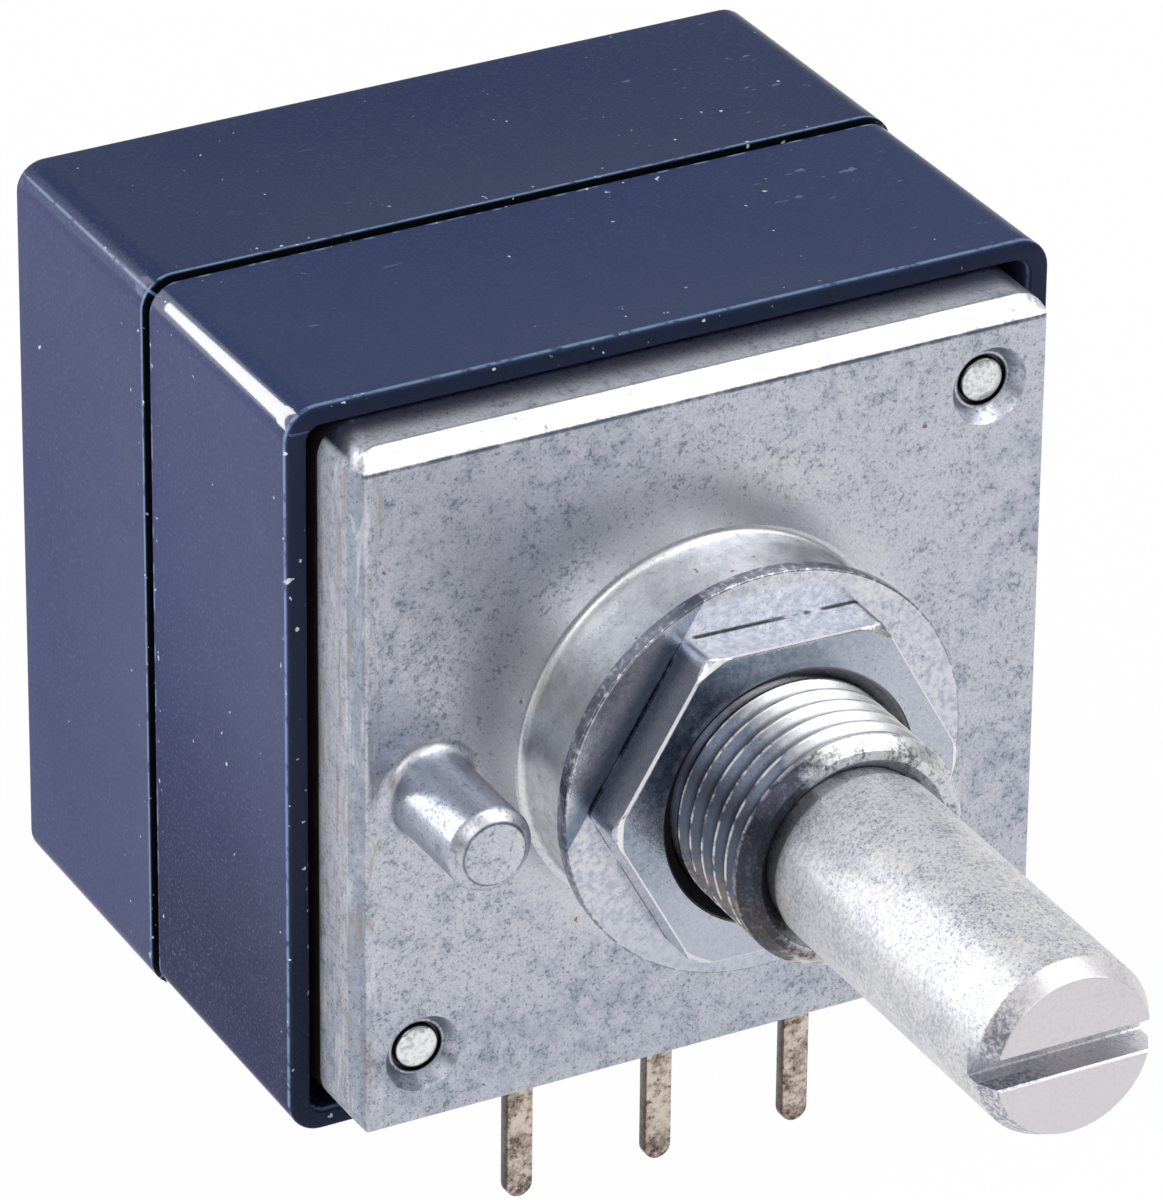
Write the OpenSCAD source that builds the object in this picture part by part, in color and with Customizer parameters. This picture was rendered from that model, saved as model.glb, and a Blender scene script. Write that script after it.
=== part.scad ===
// Rotary potentiometer with two gangs on one shaft, held in a panel by a threaded bushing.
// +Z is up, the terminals point down and the shaft points to -Y.
// The origin is on the shaft's axis, in the plane of the front plate's mounting face.

/* [Housing] */
// Width of the moulded shells
body_w = 27; // [26:0.1:32]
// Height of the moulded shells
body_h = 25.9; // [25.2:0.1:30]
// Radius of the shells' long edges
body_corner_r = 1.1; // [0.8:0.1:1.6]
// Thickness of a shell's side walls
side_wall = 0.7; // [0.5:0.05:1]
// Thickness of a shell's upper and lower wall
top_wall = 0.65; // [0.5:0.05:1]
// Depth of the front shell
front_shell_depth = 9.8; // [9:0.1:12]
// Depth of the rear shell
rear_shell_depth = 9.7; // [9.5:0.1:12]
// Thickness of the rear shell's closed end
back_wall = 1; // [0.8:0.1:1.2]
// Thickness of the sheet between the shells
divider_t = 0.4; // [0.3:0.1:1]
// Depth of the groove that the sheet leaves between the shells
seam_depth = 0.45; // [0.3:0.05:0.45]
// Side of the columns in the shells' corners
column_side = 4.4; // [4:0.1:4.8]

/* [Front plate] */
// Gap between the front plate and the shell's side walls
plate_side_gap = 0.45; // [0.1:0.05:0.6]
// Gap between the front plate and the shell's upper and lower wall
plate_top_gap = 0.1; // [0.05:0.05:0.3]
// Thickness of the front plate
plate_t = 2.6; // [2:0.1:4]
// How deep the front plate sits in the front shell
plate_seat = 0.2; // [0.1:0.1:0.6]
// Radius of the front plate's front edges
plate_edge_r = 0.6; // [0.3:0.1:0.9]
// Width of the boss's mounting face round the bushing
boss_ledge = 2.3; // [1.5:0.1:3]
// Height of the boss above the front plate
boss_h = 3.2; // [1:0.1:4]
// How much wider the boss's radius is at its foot
boss_flare_w = 0.2; // [0.1:0.05:0.4]
// Radius of the fillet at the boss's foot
boss_fillet_r = 0.6; // [0.3:0.1:0.9]
// Depth of the recess for the clip behind the front plate
recess_depth = 0.8; // [0.6:0.1:1.2]

/* [Bushing] */
// Thickness of the bushing round the shaft, up to the thread's crests
bushing_wall = 1; // [0.8:0.1:1.5]
// Length of the bushing from the mounting face
bushing_l = 6.3; // [5:0.1:10]
// Chamfer at the bushing's end
bushing_chamfer = 0.4; // [0.2:0.05:0.45]
// Chamfer at the mouth of the bushing's bore
mouth_chamfer = 0.4; // [0.1:0.05:0.45]
// Radial clearance of the shaft in its bearings
bearing_gap = 0.03; // [0.01:0.005:0.06]

/* [Locating lug] */
// Diameter of the lug
lug_d = 2.9; // [2:0.1:3.2]
// Distance of the lug from the shaft's axis
lug_x = 9.8; // [9:0.1:10.2]
// How far the lug passes the mounting face
lug_l = 1.2; // [0.8:0.1:2]
// Chamfer at the lug's end
lug_chamfer = 0.35; // [0.2:0.05:0.5]
// Radius of the fillet at the lug's foot
lug_fillet_r = 0.4; // [0.2:0.1:0.6]

/* [Nut and washer] */
// Width of the washer's ring
washer_w = 3.05; // [2.5:0.05:3.5]
// Thickness of the washer
washer_t = 0.55; // [0.4:0.05:1]
// Thickness of the nut from the thread to a flat
nut_wall = 1.4; // [1:0.1:2]
// Thickness of the nut
nut_t = 1.65; // [1.5:0.05:2.5]
// Countersink at the mouth of the nut's thread
nut_countersink = 0.45; // [0.3:0.05:0.6]
// Depth of the chamfer across the nut's front corners
nut_chamfer = 0.25; // [0.1:0.05:0.4]
// Turn of the nut about the shaft's axis, in degrees
nut_turn = -1.5; // [-30:0.5:30]
// Radial clearance of the washer and nut on the bushing
thread_gap = 0.02; // [0.01:0.01:0.05]

/* [Shaft] */
// Diameter of the shaft
shaft_d = 6; // [5:0.1:6.4]
// Length of the shaft from the mounting face
shaft_l = 19.5; // [15:0.5:30]
// Length of the chamfer at the shaft's end
shaft_chamfer_l = 0.7; // [0.3:0.1:1]
// Depth of the chamfer at the shaft's end
shaft_chamfer_r = 0.35; // [0.2:0.05:0.5]
// Width of the screwdriver slot
slot_w = 1; // [0.8:0.1:1.5]
// Depth of the screwdriver slot
slot_depth = 1.2; // [0.8:0.1:2]
// How much smaller the shaft's radius is in the bushing than in front of it
bearing_relief = 0.15; // [0.1:0.01:0.2]
// Shoulder between the shaft and its tail inside the gangs
tail_step = 1; // [0.8:0.1:1.1]
// Depth of the two flats on the tail
tail_flat_depth = 0.4; // [0.2:0.1:0.5]
// Shoulder between the tail and its rear journal
journal_step = 0.5; // [0.4:0.1:0.7]
// Length of the tail's rear journal in its bearing
journal_l = 1.6; // [1:0.1:1.8]

/* [Clip and friction washer] */
// How far the retaining clip and the friction washer reach beyond the shaft
clip_ledge = 1.3; // [1:0.1:1.5]
// Thickness of the retaining clip
clip_t = 0.6; // [0.4:0.1:0.8]
// Depth of the clip's groove in the shaft
groove_depth = 0.3; // [0.2:0.05:0.4]
// Opening of the clip, in degrees
clip_mouth = 70; // [50:5:100]
// Thickness of the friction washer
friction_t = 0.5; // [0.3:0.1:0.6]

/* [Element boards] */
// Thickness of an element board
board_t = 1.5; // [1.2:0.1:1.8]
// Thickness of the printed tracks
film_t = 0.08; // [0.05:0.01:0.12]
// Distance of the collector ring from the board's hole
film_margin = 0.5; // [0.3:0.1:0.7]
// Width of the collector ring
collector_w = 1.2; // [1:0.1:1.4]
// Gap between the collector ring and the resistive track
film_gap = 1.2; // [1:0.1:1.4]
// Width of the resistive track
track_w = 1.6; // [1.2:0.1:1.8]

/* [Terminals] */
// Distance between neighbouring terminals
terminal_pitch = 5.1; // [5:0.05:5.3]
// Width of a terminal
terminal_w = 0.95; // [0.8:0.05:1.2]
// Thickness of a terminal
terminal_t = 0.5; // [0.3:0.05:0.6]
// How far the terminals reach below the shells
terminal_l = 4.85; // [3:0.05:8]
// How deep a terminal lies below its board's face
terminal_sink = 0.1; // [0.05:0.05:0.2]
// Height of the eyelets' axes above the board's lower edge
eyelet_rise = 1.9; // [1.5:0.1:2.2]
// Outside diameter of an eyelet
eyelet_d = 1; // [0.8:0.1:1.2]
// Thickness of an eyelet's wall
eyelet_wall = 0.2; // [0.15:0.05:0.3]
// Diameter of an eyelet's flange
eyelet_flange_d = 1.8; // [1.5:0.1:1.9]
// Thickness of an eyelet's flange
eyelet_flange_t = 0.2; // [0.1:0.05:0.25]

/* [Rotors and wipers] */
// How far a rotor's rim stays inside the resistive track's middle
rotor_inset = 0.1; // [0:0.1:1]
// Thickness of a rotor's disc
rotor_t = 2.2; // [1.5:0.1:2.5]
// Thickness of a rotor's hub round the tail
hub_wall = 2.2; // [1.5:0.1:2.4]
// Length of a rotor's hub
hub_l = 4.4; // [4:0.1:4.6]
// Gap between a rotor's hub and its board's printed side
hub_gap = 0.22; // [0.15:0.01:0.3]
// Distance of a wiper's sheet from its board's printed side
wiper_stand = 0.7; // [0.6:0.05:0.9]
// Thickness of a wiper's sheet
wiper_t = 0.25; // [0.15:0.05:0.3]
// Angle that a wiper's sheet covers, in degrees
wiper_span = 80; // [60:5:100]
// Diameter of a wiper's contact points
contact_d = 0.4; // [0.3:0.05:0.5]
// Angle between neighbouring contact points, in degrees
contact_pitch = 6; // [5:0.5:8]

/* [Travel] */
// Turn of the shaft between its stops, in degrees
travel = 300; // [280:5:310]
// Angle that the fixed stop covers, in degrees
stop_angle = 24; // [16:1:30]
// Width of the stop along the radius
stop_w = 1; // [0.6:0.1:1]

/* [Rivets] */
// Distance of the rivets' axes from the shells' inside
rivet_inset = 2.8; // [2.3:0.1:3]
// Diameter of a rivet's shank
rivet_d = 1.3; // [1:0.1:1.4]
// Diameter of a rivet's peened end
rivet_peen_d = 1.55; // [1.5:0.05:1.7]
// Length of a rivet's peened end
rivet_peen_l = 0.3; // [0.2:0.1:0.5]
// Diameter of a rivet's head on the rear shell
rivet_head_d = 3; // [2.4:0.1:3.4]
// Height of a rivet's head
rivet_head_t = 0.7; // [0.4:0.1:1]
// Diameter of the countersink round a peened end
sink_d = 2.5; // [2.3:0.1:2.8]
// Depth of the countersink round a peened end
sink_depth = 0.5; // [0.4:0.1:0.7]

/* [Hidden] */
$fn = 64;
bite = 0.5;              // how far a cut passes the faces that it opens
slip = 0.05;             // clearance of a piece in its seat
key_slip = 0.02;         // clearance of a keyed hub, of the clip in its groove and of an eyelet
air = 0.3;               // distance between a piece that turns and its neighbours
stop_play = 0.5;         // angle left at each end of the travel, in degrees

// Places along the shaft's axis, from the front plate to the rear shell
plate_front = boss_h;
plate_back = plate_front + plate_t;
rim = plate_back - plate_seat;
front_shell_end = rim + front_shell_depth;
rear_shell_start = front_shell_end + divider_t;
rear_shell_end = rear_shell_start + rear_shell_depth;

// One gang, behind the front plate; the rear gang is the same behind the divider
gang_pitch = rear_shell_start - plate_back;
board_back = plate_back + board_t;
print_face = board_back + film_t;
terminal_front = plate_back + terminal_sink;
terminal_back = terminal_front + terminal_t;
hub_front = print_face + hub_gap;
disc_front = print_face + wiper_stand + wiper_t;

// Inside of the shells and outline of the plate and the boards
inner_w = body_w - 2 * side_wall;
inner_h = body_h - 2 * top_wall;
inner_corner_r = body_corner_r / 2;
plate_w = inner_w - 2 * plate_side_gap;
plate_h = inner_h - 2 * plate_top_gap;
plate_corner_r = inner_corner_r + 2 * air;

// Bushing, boss, nut and washer, from the shaft outwards
bushing_d = shaft_d + 2 * bushing_wall;
bearing_d = shaft_d - 2 * bearing_relief;
shaft_bore_d = bearing_d + 2 * bearing_gap;
boss_d = bushing_d + 2 * boss_ledge;
washer_d = bushing_d + 2 * washer_w;
nut_af = bushing_d + 2 * nut_wall;
nut_bore_d = bushing_d + 2 * thread_gap;
nut_front = -washer_t - nut_t;

// Seat of the friction washer and the clip behind the plate
clip_d = shaft_d + 2 * clip_ledge;
recess_d = clip_d + 2 * air;
recess_floor = plate_back - recess_depth;
friction_front = recess_floor + slip;
clip_front = friction_front + friction_t + slip;
clip_back = clip_front + clip_t;
groove_d = bearing_d - 2 * groove_depth;

// Stop post on the plate and stop tab on the front rotor, in one ring about the axis
stop_inner_r = recess_d / 2 + 2 * slip;
stop_outer_r = stop_inner_r + stop_w;
tab_angle = 360 - travel - stop_angle - 2 * stop_play;

// Rings on an element board, from its hole outwards, and the rotor over them
board_hole_d = 2 * (stop_outer_r + air);
collector_r = board_hole_d / 2 + film_margin + collector_w / 2;
track_r = collector_r + collector_w / 2 + film_gap + track_w / 2;
rotor_d = 2 * (track_r - rotor_inset);

// The shaft's tail and its rear bearing
tail_d = shaft_d - 2 * tail_step;
hub_d = tail_d + 2 * hub_wall;
journal_d = tail_d - 2 * journal_step;
bearing_start = -bushing_l - air;
tail_front = board_back - air;
tail_end = rear_shell_end - back_wall - air;
bearing_front = tail_end - journal_l;
journal_front = bearing_front - air;

terminal_tip = -body_h / 2 - terminal_l;
eyelet_z = eyelet_rise - plate_h / 2;
rivet_x = inner_w / 2 - rivet_inset;
rivet_z = inner_h / 2 - rivet_inset;
rivet_places = [[rivet_x, rivet_z], [-rivet_x, -rivet_z]];
terminal_places = [-terminal_pitch, 0, terminal_pitch];

// An outline in the XZ plane, made solid from y0 to y1
module slab(y0, y1) {
    translate([0, y1, 0]) rotate([90, 0, 0]) linear_extrude(y1 - y0) children();
}

// A round bar or cone along Y, with diameter d0 at y0 and d1 at y1
module bar(d0, d1, y0, y1) {
    translate([0, y1, 0]) rotate([90, 0, 0]) cylinder(d1 = d1, d2 = d0, h = y1 - y0);
}

// A profile of [radius, y] points, turned about the Y axis
module turned(points) {
    rotate([90, 0, 0]) rotate_extrude() polygon([for (p = points) [p[0], -p[1]]]);
}

// A bar from y0 to y1 with a chamfer at y0 that is cut_r deep and cut_l long
module chamfered_bar(d, y0, y1, cut_r, cut_l) {
    r = d / 2;
    turned([[0, y0], [r - cut_r, y0], [r, y0 + cut_l], [r, y1], [0, y1]]);
}

// A rectangle with round corners
module round_square(w, h, r) {
    square([w - 2 * r, h], center = true);
    square([w, h - 2 * r], center = true);
    for (x = [-1, 1], z = [-1, 1]) translate([x * (w / 2 - r), z * (h / 2 - r)]) circle(r);
}

// A wedge from the axis to beyond radius r, span degrees wide about the angle middle
module wedge(middle, span, r) {
    steps = ceil(span / 60);
    rays = [for (i = [0 : steps]) middle - span / 2 + i * span / steps];
    polygon(concat([[0, 0]], [for (a = rays) 1.3 * r * [cos(a), sin(a)]]));
}

// Part of a ring, span degrees wide about the angle middle
module ring_part(inner_r, outer_r, middle, span) {
    intersection() {
        difference() {
            circle(outer_r);
            circle(inner_r);
        }
        wedge(middle, span, outer_r);
    }
}

// A hollow fillet of radius r round a post of radius post_r that stands on the front plate
module foot_fillet(post_r, r) {
    translate([0, plate_front, 0]) rotate([90, 0, 0]) rotate_extrude() difference() {
        translate([post_r - r / 2, -r / 2]) square([1.5 * r, 1.5 * r]);
        translate([post_r + r, r]) circle(r);
    }
}

// The section of the front plate across its width w: round at the front, square at the back
module plate_section(w) {
    translate([-w / 2, plate_front + plate_edge_r]) square([w, plate_t - plate_edge_r]);
    translate([plate_edge_r - w / 2, plate_front]) square([w - 2 * plate_edge_r, plate_t]);
    for (side = [-1, 1])
        translate([side * (w / 2 - plate_edge_r), plate_front + plate_edge_r]) circle(plate_edge_r);
}

module plate_slab() {
    intersection() {
        slab(plate_front, plate_back) round_square(plate_w, plate_h, plate_corner_r);
        linear_extrude(2 * plate_h, center = true) plate_section(plate_w);
        rotate([0, 90, 0]) linear_extrude(2 * plate_w, center = true) plate_section(plate_h);
    }
}

module boss() {
    foot_r = boss_d / 2 + boss_flare_w;
    foot = plate_front + bite;
    turned([[0, 0], [boss_d / 2, 0], [foot_r, plate_front - boss_fillet_r], [foot_r, foot], [0, foot]]);
    foot_fillet(foot_r, boss_fillet_r);
}

module locating_lug() {
    chamfered_bar(lug_d, -lug_l, plate_front + bite, lug_chamfer, lug_chamfer);
    foot_fillet(lug_d / 2, lug_fillet_r);
}

module rivet_hole(y0, y1) {
    bar(rivet_d + 2 * slip, rivet_d + 2 * slip, y0, y1);
}

// The countersink, the seat of the peened end and the shank's hole
module rivet_seat() {
    seat_d = rivet_peen_d + 4 * slip;
    sink_end = plate_front + sink_depth;
    bar(sink_d, sink_d, plate_front - bite, plate_front);
    bar(sink_d, seat_d + 4 * slip, plate_front, sink_end);
    bar(seat_d, seat_d, sink_end, sink_end + rivet_peen_l - 2 * slip);
    rivet_hole(sink_end, plate_back + bite);
}

module front_plate() {
    color("silver") difference() {
        union() {
            plate_slab();
            boss();
            chamfered_bar(bushing_d, -bushing_l, bite, bushing_chamfer, bushing_chamfer);
            translate([-lug_x, 0, 0]) locating_lug();
            slab(plate_back - bite, disc_front - air) ring_part(stop_inner_r, stop_outer_r, -90, stop_angle);
        }
        bar(shaft_bore_d, shaft_bore_d, -bushing_l - bite, plate_back + bite);
        bar(shaft_bore_d + 2 * mouth_chamfer, shaft_bore_d, -bushing_l, mouth_chamfer - bushing_l);
        bar(recess_d, recess_d, recess_floor, plate_back + slip);
        for (place = rivet_places) translate([place[0], 0, place[1]]) rivet_seat();
    }
}

module mounting_washer() {
    color("gainsboro") difference() {
        bar(washer_d, washer_d, -washer_t, 0);
        bar(nut_bore_d, nut_bore_d, -washer_t - bite, bite);
    }
}

// The chamfer across the nut's corners is 1.5 times as deep along the radius as along the axis
module mounting_nut() {
    corner_d = nut_af / cos(30);
    sink_d = nut_bore_d + 2 * nut_countersink;
    color("gainsboro") difference() {
        intersection() {
            slab(nut_front, -washer_t) rotate(nut_turn) circle(d = corner_d, $fn = 6);
            chamfered_bar(corner_d + slip, nut_front, 0, 1.5 * nut_chamfer, nut_chamfer);
        }
        bar(nut_bore_d, nut_bore_d, nut_front - bite, bite);
        bar(sink_d, nut_bore_d, nut_front, nut_front + nut_countersink);
    }
}

// The tail's section, grown by gap: a circle with two flats
module keyed_section(gap) {
    intersection() {
        circle(d = tail_d + 2 * gap);
        square([tail_d - 2 * tail_flat_depth + 2 * gap, 2 * tail_d], center = true);
    }
}

module control_shaft() {
    slot_half = shaft_d / 2 + bite;
    color("lightgray") difference() {
        union() {
            chamfered_bar(shaft_d, -shaft_l, bearing_start, shaft_chamfer_r, shaft_chamfer_l);
            bar(bearing_d, bearing_d, bearing_start - bite, tail_front);
            slab(tail_front - bite, journal_front) keyed_section(0);
            bar(journal_d, journal_d, journal_front - bite, tail_end);
        }
        translate([-slot_half, -shaft_l - bite, -slot_w / 2]) cube([2 * slot_half, slot_depth + bite, slot_w]);
        difference() {
            bar(shaft_d + bite, shaft_d + bite, clip_front - key_slip, clip_back + key_slip);
            bar(groove_d, groove_d, clip_front - bite, clip_back + bite);
        }
    }
}

module friction_washer() {
    color("peru") slab(friction_front, friction_front + friction_t) difference() {
        circle(d = clip_d);
        circle(d = bearing_d + 2 * slip);
    }
}

module retaining_clip() {
    color("dimgray") slab(clip_front, clip_back) difference() {
        circle(d = clip_d);
        circle(d = groove_d + 2 * key_slip);
        wedge(90, clip_mouth, clip_d / 2);
    }
}

module pocket_outline() {
    round_square(inner_w, inner_h, inner_corner_r);
}

// A shell from y0 to y1 that is hollow to pocket_end, with corner columns behind its board.
// board_front is the front of that board.
module shell(y0, y1, pocket_end, board_front) {
    column_front = board_front + board_t;
    notch_w = terminal_w + 4 * slip;
    notch_back = board_front + terminal_sink + terminal_t + slip;
    difference() {
        slab(y0, y1) round_square(body_w, body_h, body_corner_r);
        slab(y0 - bite, column_front) pocket_outline();
        slab(column_front - bite, pocket_end) difference() {
            pocket_outline();
            for (x = [-1, 1], z = [-1, 1])
                translate([x * inner_w / 2, z * inner_h / 2]) square(2 * column_side, center = true);
        }
        for (place = rivet_places) translate([place[0], 0, place[1]]) rivet_hole(column_front - bite, y1 + bite);
        for (x = terminal_places)
            translate([x - notch_w / 2, y0 - bite, -body_h / 2 - bite])
                cube([notch_w, notch_back - y0 + bite, top_wall + 2 * bite]);
    }
}

module front_shell() {
    color("darkslateblue") shell(rim, front_shell_end, front_shell_end + bite, plate_back);
}

module rear_shell() {
    bore = journal_d + 2 * bearing_gap;
    boss_outer_d = bore + 4 * back_wall;
    pocket_end = rear_shell_end - back_wall;
    color("darkslateblue") difference() {
        union() {
            shell(rear_shell_start, rear_shell_end, pocket_end, rear_shell_start);
            bar(boss_outer_d, boss_outer_d, bearing_front, pocket_end + back_wall / 2);
        }
        bar(bore, bore, bearing_front - bite, tail_end + air);
    }
}

module divider_sheet() {
    sheet_r = body_corner_r - seam_depth / 2;
    color("black") slab(front_shell_end, rear_shell_start) difference() {
        round_square(body_w - 2 * seam_depth, body_h - 2 * seam_depth, sheet_r);
        circle(d = tail_d + 2 * air);
        for (place = rivet_places) translate(place) circle(d = rivet_d + 2 * slip);
    }
}

module through_rivets() {
    peen_back = plate_front + sink_depth + rivet_peen_l - 2 * slip;
    peen_front = peen_back - rivet_peen_l;
    head_edge = rear_shell_end + rivet_head_t / 2;
    head_end = rear_shell_end + rivet_head_t;
    color("whitesmoke") for (place = rivet_places) translate([place[0], 0, place[1]]) turned([
        [0, peen_front], [rivet_peen_d / 2, peen_front], [rivet_peen_d / 2, peen_back], [rivet_d / 2, peen_back],
        [rivet_d / 2, rear_shell_end], [rivet_head_d / 2, rear_shell_end], [rivet_head_d / 2, head_edge],
        [rivet_head_d / 2 - rivet_head_t / 2, head_end], [0, head_end]
    ]);
}

// A terminal's outline at x, grown by grow: an upright strip with a pad at its eyelet
module terminal_outline(x, grow) {
    w = terminal_w + 2 * grow;
    tip_z = terminal_tip + terminal_w / 2;
    translate([x, eyelet_z]) circle(d = eyelet_flange_d + 2 * grow);
    translate([x, tip_z]) circle(d = w);
    translate([x - w / 2, tip_z]) square([w, eyelet_z - tip_z]);
}

module board_outline() {
    round_square(plate_w, plate_h, plate_corner_r);
}

module eyelet_hole(x) {
    translate([x, eyelet_z]) circle(d = eyelet_d + 2 * key_slip);
}

module element_board() {
    color("saddlebrown") difference() {
        slab(plate_back, board_back) difference() {
            board_outline();
            circle(d = board_hole_d);
            for (x = terminal_places) eyelet_hole(x);
            for (place = rivet_places) translate(place) circle(d = rivet_d + 2 * slip);
        }
        slab(plate_back - bite, terminal_back) for (x = terminal_places) terminal_outline(x, slip);
    }
}

// The resistive track, with a lead down to each outer terminal
module resistive_track() {
    end_angle = (360 - travel) / 2;
    end_z = -track_r * cos(end_angle);
    pad_d = 2 * eyelet_d;
    color("dimgray") slab(board_back, print_face) difference() {
        intersection() {
            board_outline();
            union() {
                ring_part(track_r - track_w / 2, track_r + track_w / 2, 90, travel);
                for (side = [-1, 1]) {
                    translate([side * track_r * sin(end_angle) - pad_d / 2, min(eyelet_z, end_z)])
                        square([pad_d, abs(end_z - eyelet_z)]);
                    translate([side * terminal_pitch, eyelet_z]) circle(d = pad_d);
                }
            }
        }
        for (x = terminal_places) eyelet_hole(x);
    }
}

// The collector ring, with a lead down to the middle terminal
module collector_ring() {
    color("gray") slab(board_back, print_face) difference() {
        union() {
            circle(collector_r + collector_w / 2);
            translate([-collector_w / 2, eyelet_z]) square([collector_w, -eyelet_z]);
            translate([0, eyelet_z]) circle(d = 2 * eyelet_d);
        }
        circle(collector_r - collector_w / 2);
        eyelet_hole(0);
    }
}

module terminal_eyelets() {
    bore = eyelet_d - 2 * eyelet_wall;
    flange_back = print_face + eyelet_flange_t;
    color("gold") for (x = terminal_places) translate([x, 0, eyelet_z]) difference() {
        union() {
            bar(eyelet_d, eyelet_d, terminal_front, flange_back);
            bar(eyelet_flange_d, eyelet_flange_d, print_face, flange_back);
        }
        bar(bore, bore, terminal_front - bite, flange_back + bite);
    }
}

module terminal(x) {
    color("lightgray") slab(terminal_front, terminal_back) difference() {
        terminal_outline(x, 0);
        eyelet_hole(x);
    }
}

// A rotor: a disc with a hub that is keyed to the shaft's tail
module rotor() {
    color("ivory") difference() {
        union() {
            bar(rotor_d, rotor_d, disc_front, disc_front + rotor_t);
            bar(hub_d, hub_d, hub_front, hub_front + hub_l);
        }
        slab(hub_front - bite, hub_front + hub_l + bite) keyed_section(key_slip);
    }
}

// The front rotor also has the tab that meets the plate's stop post
module front_rotor() {
    rotor();
    color("ivory") slab(hub_front, disc_front + bite)
        ring_part(hub_d / 2 - slip, stop_outer_r, 90, tab_angle);
}

// A wiper: a sheet on the rotor, with contact points over the track and the collector ring
module wiper() {
    sheet_front = disc_front - wiper_t;
    color("orange") difference() {
        union() {
            slab(sheet_front, disc_front) ring_part(stop_outer_r + air, track_r + contact_d, 90, wiper_span);
            for (r = [track_r, collector_r], i = [-1 : 1]) rotate([0, i * contact_pitch, 0])
                translate([0, 0, r]) bar(contact_d, contact_d, print_face + slip, disc_front - wiper_t / 2);
        }
        for (i = [-1.5 : 1.5]) rotate([0, i * contact_pitch, 0])
            translate([-slip, sheet_front - bite, track_r - 3 * contact_d])
                cube([2 * slip, wiper_t + 2 * bite, 6 * contact_d]);
    }
}

module in_rear_gang() {
    translate([0, gang_pitch, 0]) children();
}

front_plate();
mounting_washer();
mounting_nut();
control_shaft();
friction_washer();
retaining_clip();
front_shell();
rear_shell();
divider_sheet();
through_rivets();
element_board();  // front_element_board
resistive_track();  // front_resistive_track
collector_ring();  // front_collector_ring
terminal_eyelets();  // front_terminal_eyelets
terminal(-terminal_pitch);  // front_terminal_left
terminal(0);  // front_terminal_middle
terminal(terminal_pitch);  // front_terminal_right
front_rotor();
wiper();  // front_wiper
in_rear_gang() element_board();  // rear_element_board
in_rear_gang() resistive_track();  // rear_resistive_track
in_rear_gang() collector_ring();  // rear_collector_ring
in_rear_gang() terminal_eyelets();  // rear_terminal_eyelets
in_rear_gang() terminal(-terminal_pitch);  // rear_terminal_left
in_rear_gang() terminal(0);  // rear_terminal_middle
in_rear_gang() terminal(terminal_pitch);  // rear_terminal_right
in_rear_gang() rotor();  // rear_rotor
in_rear_gang() wiper();  // rear_wiper
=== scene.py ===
import math
import bmesh
import bpy
from mathutils import Matrix, Vector


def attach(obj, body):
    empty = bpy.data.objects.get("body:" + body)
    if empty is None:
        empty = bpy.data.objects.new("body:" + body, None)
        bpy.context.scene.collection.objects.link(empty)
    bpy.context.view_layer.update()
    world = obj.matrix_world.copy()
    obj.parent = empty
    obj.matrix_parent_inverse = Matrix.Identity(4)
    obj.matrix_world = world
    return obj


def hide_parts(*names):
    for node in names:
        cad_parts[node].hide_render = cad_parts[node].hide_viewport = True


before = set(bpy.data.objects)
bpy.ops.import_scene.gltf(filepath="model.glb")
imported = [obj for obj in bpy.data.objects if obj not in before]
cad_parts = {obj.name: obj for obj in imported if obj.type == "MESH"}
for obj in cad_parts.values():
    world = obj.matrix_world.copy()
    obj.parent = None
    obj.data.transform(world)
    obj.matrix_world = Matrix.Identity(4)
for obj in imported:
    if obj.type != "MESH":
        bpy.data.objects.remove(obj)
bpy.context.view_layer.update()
mm = 0.001
print("frame loaded:", len(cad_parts), "nodes")

# places that shapes and materials share, x and z in millimetres
rivetPlaces = ((10.0, 9.5), (-10.0, -9.5))
lugPlace = (-9.8, 0)
pinPitch = 5.1
gangPitch = 10.0


# A socket of a node tree, so that shader maths is written as an expression
class Wire:
    def __init__(self, tree, socket=None):
        self.tree = tree
        self.socket = socket

    def make(self, kind, settings=None, values=None, out=0):
        node = self.tree.nodes.new(kind)
        for key, value in (settings or {}).items():
            setattr(node, key, value)
        for key, value in (values or {}).items():
            if isinstance(value, Wire):
                self.tree.links.new(value.socket, node.inputs[key])
            else:
                node.inputs[key].default_value = value
        return Wire(self.tree, node.outputs[out])

    def maths(self, operation, *operands):
        return self.make("ShaderNodeMath", {"operation": operation}, dict(enumerate(operands)))

    def __add__(self, other):
        return self.maths("ADD", self, other)

    def __sub__(self, other):
        return self.maths("SUBTRACT", self, other)

    def __rsub__(self, other):
        return self.maths("SUBTRACT", other, self)

    def __mul__(self, other):
        return self.maths("MULTIPLY", self, other)

    def __truediv__(self, other):
        return self.maths("DIVIDE", self, other)

    __radd__ = __add__
    __rmul__ = __mul__


# Meshes: rings of points in millimetres, joined by quads
def softened(corners, steps=5):
    # corners are (radius, y) or (radius, y, rounding)
    points = []
    count = len(corners)
    for i, corner in enumerate(corners):
        here = Vector(corner[:2])
        rounding = corner[2] if len(corner) > 2 else 0
        if not rounding:
            points.append(tuple(here))
            continue
        before = Vector(corners[i - 1][:2])
        after = Vector(corners[(i + 1) % count][:2])
        # a rounding takes less than half of the shorter side
        start = here + (before - here).normalized() * min(rounding, 0.45 * (before - here).length)
        end = here + (after - here).normalized() * min(rounding, 0.45 * (after - here).length)
        for k in range(steps + 1):
            t = k / steps
            points.append(tuple(start * (1 - t) ** 2 + here * 2 * t * (1 - t) + end * t ** 2))
    return points


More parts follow.
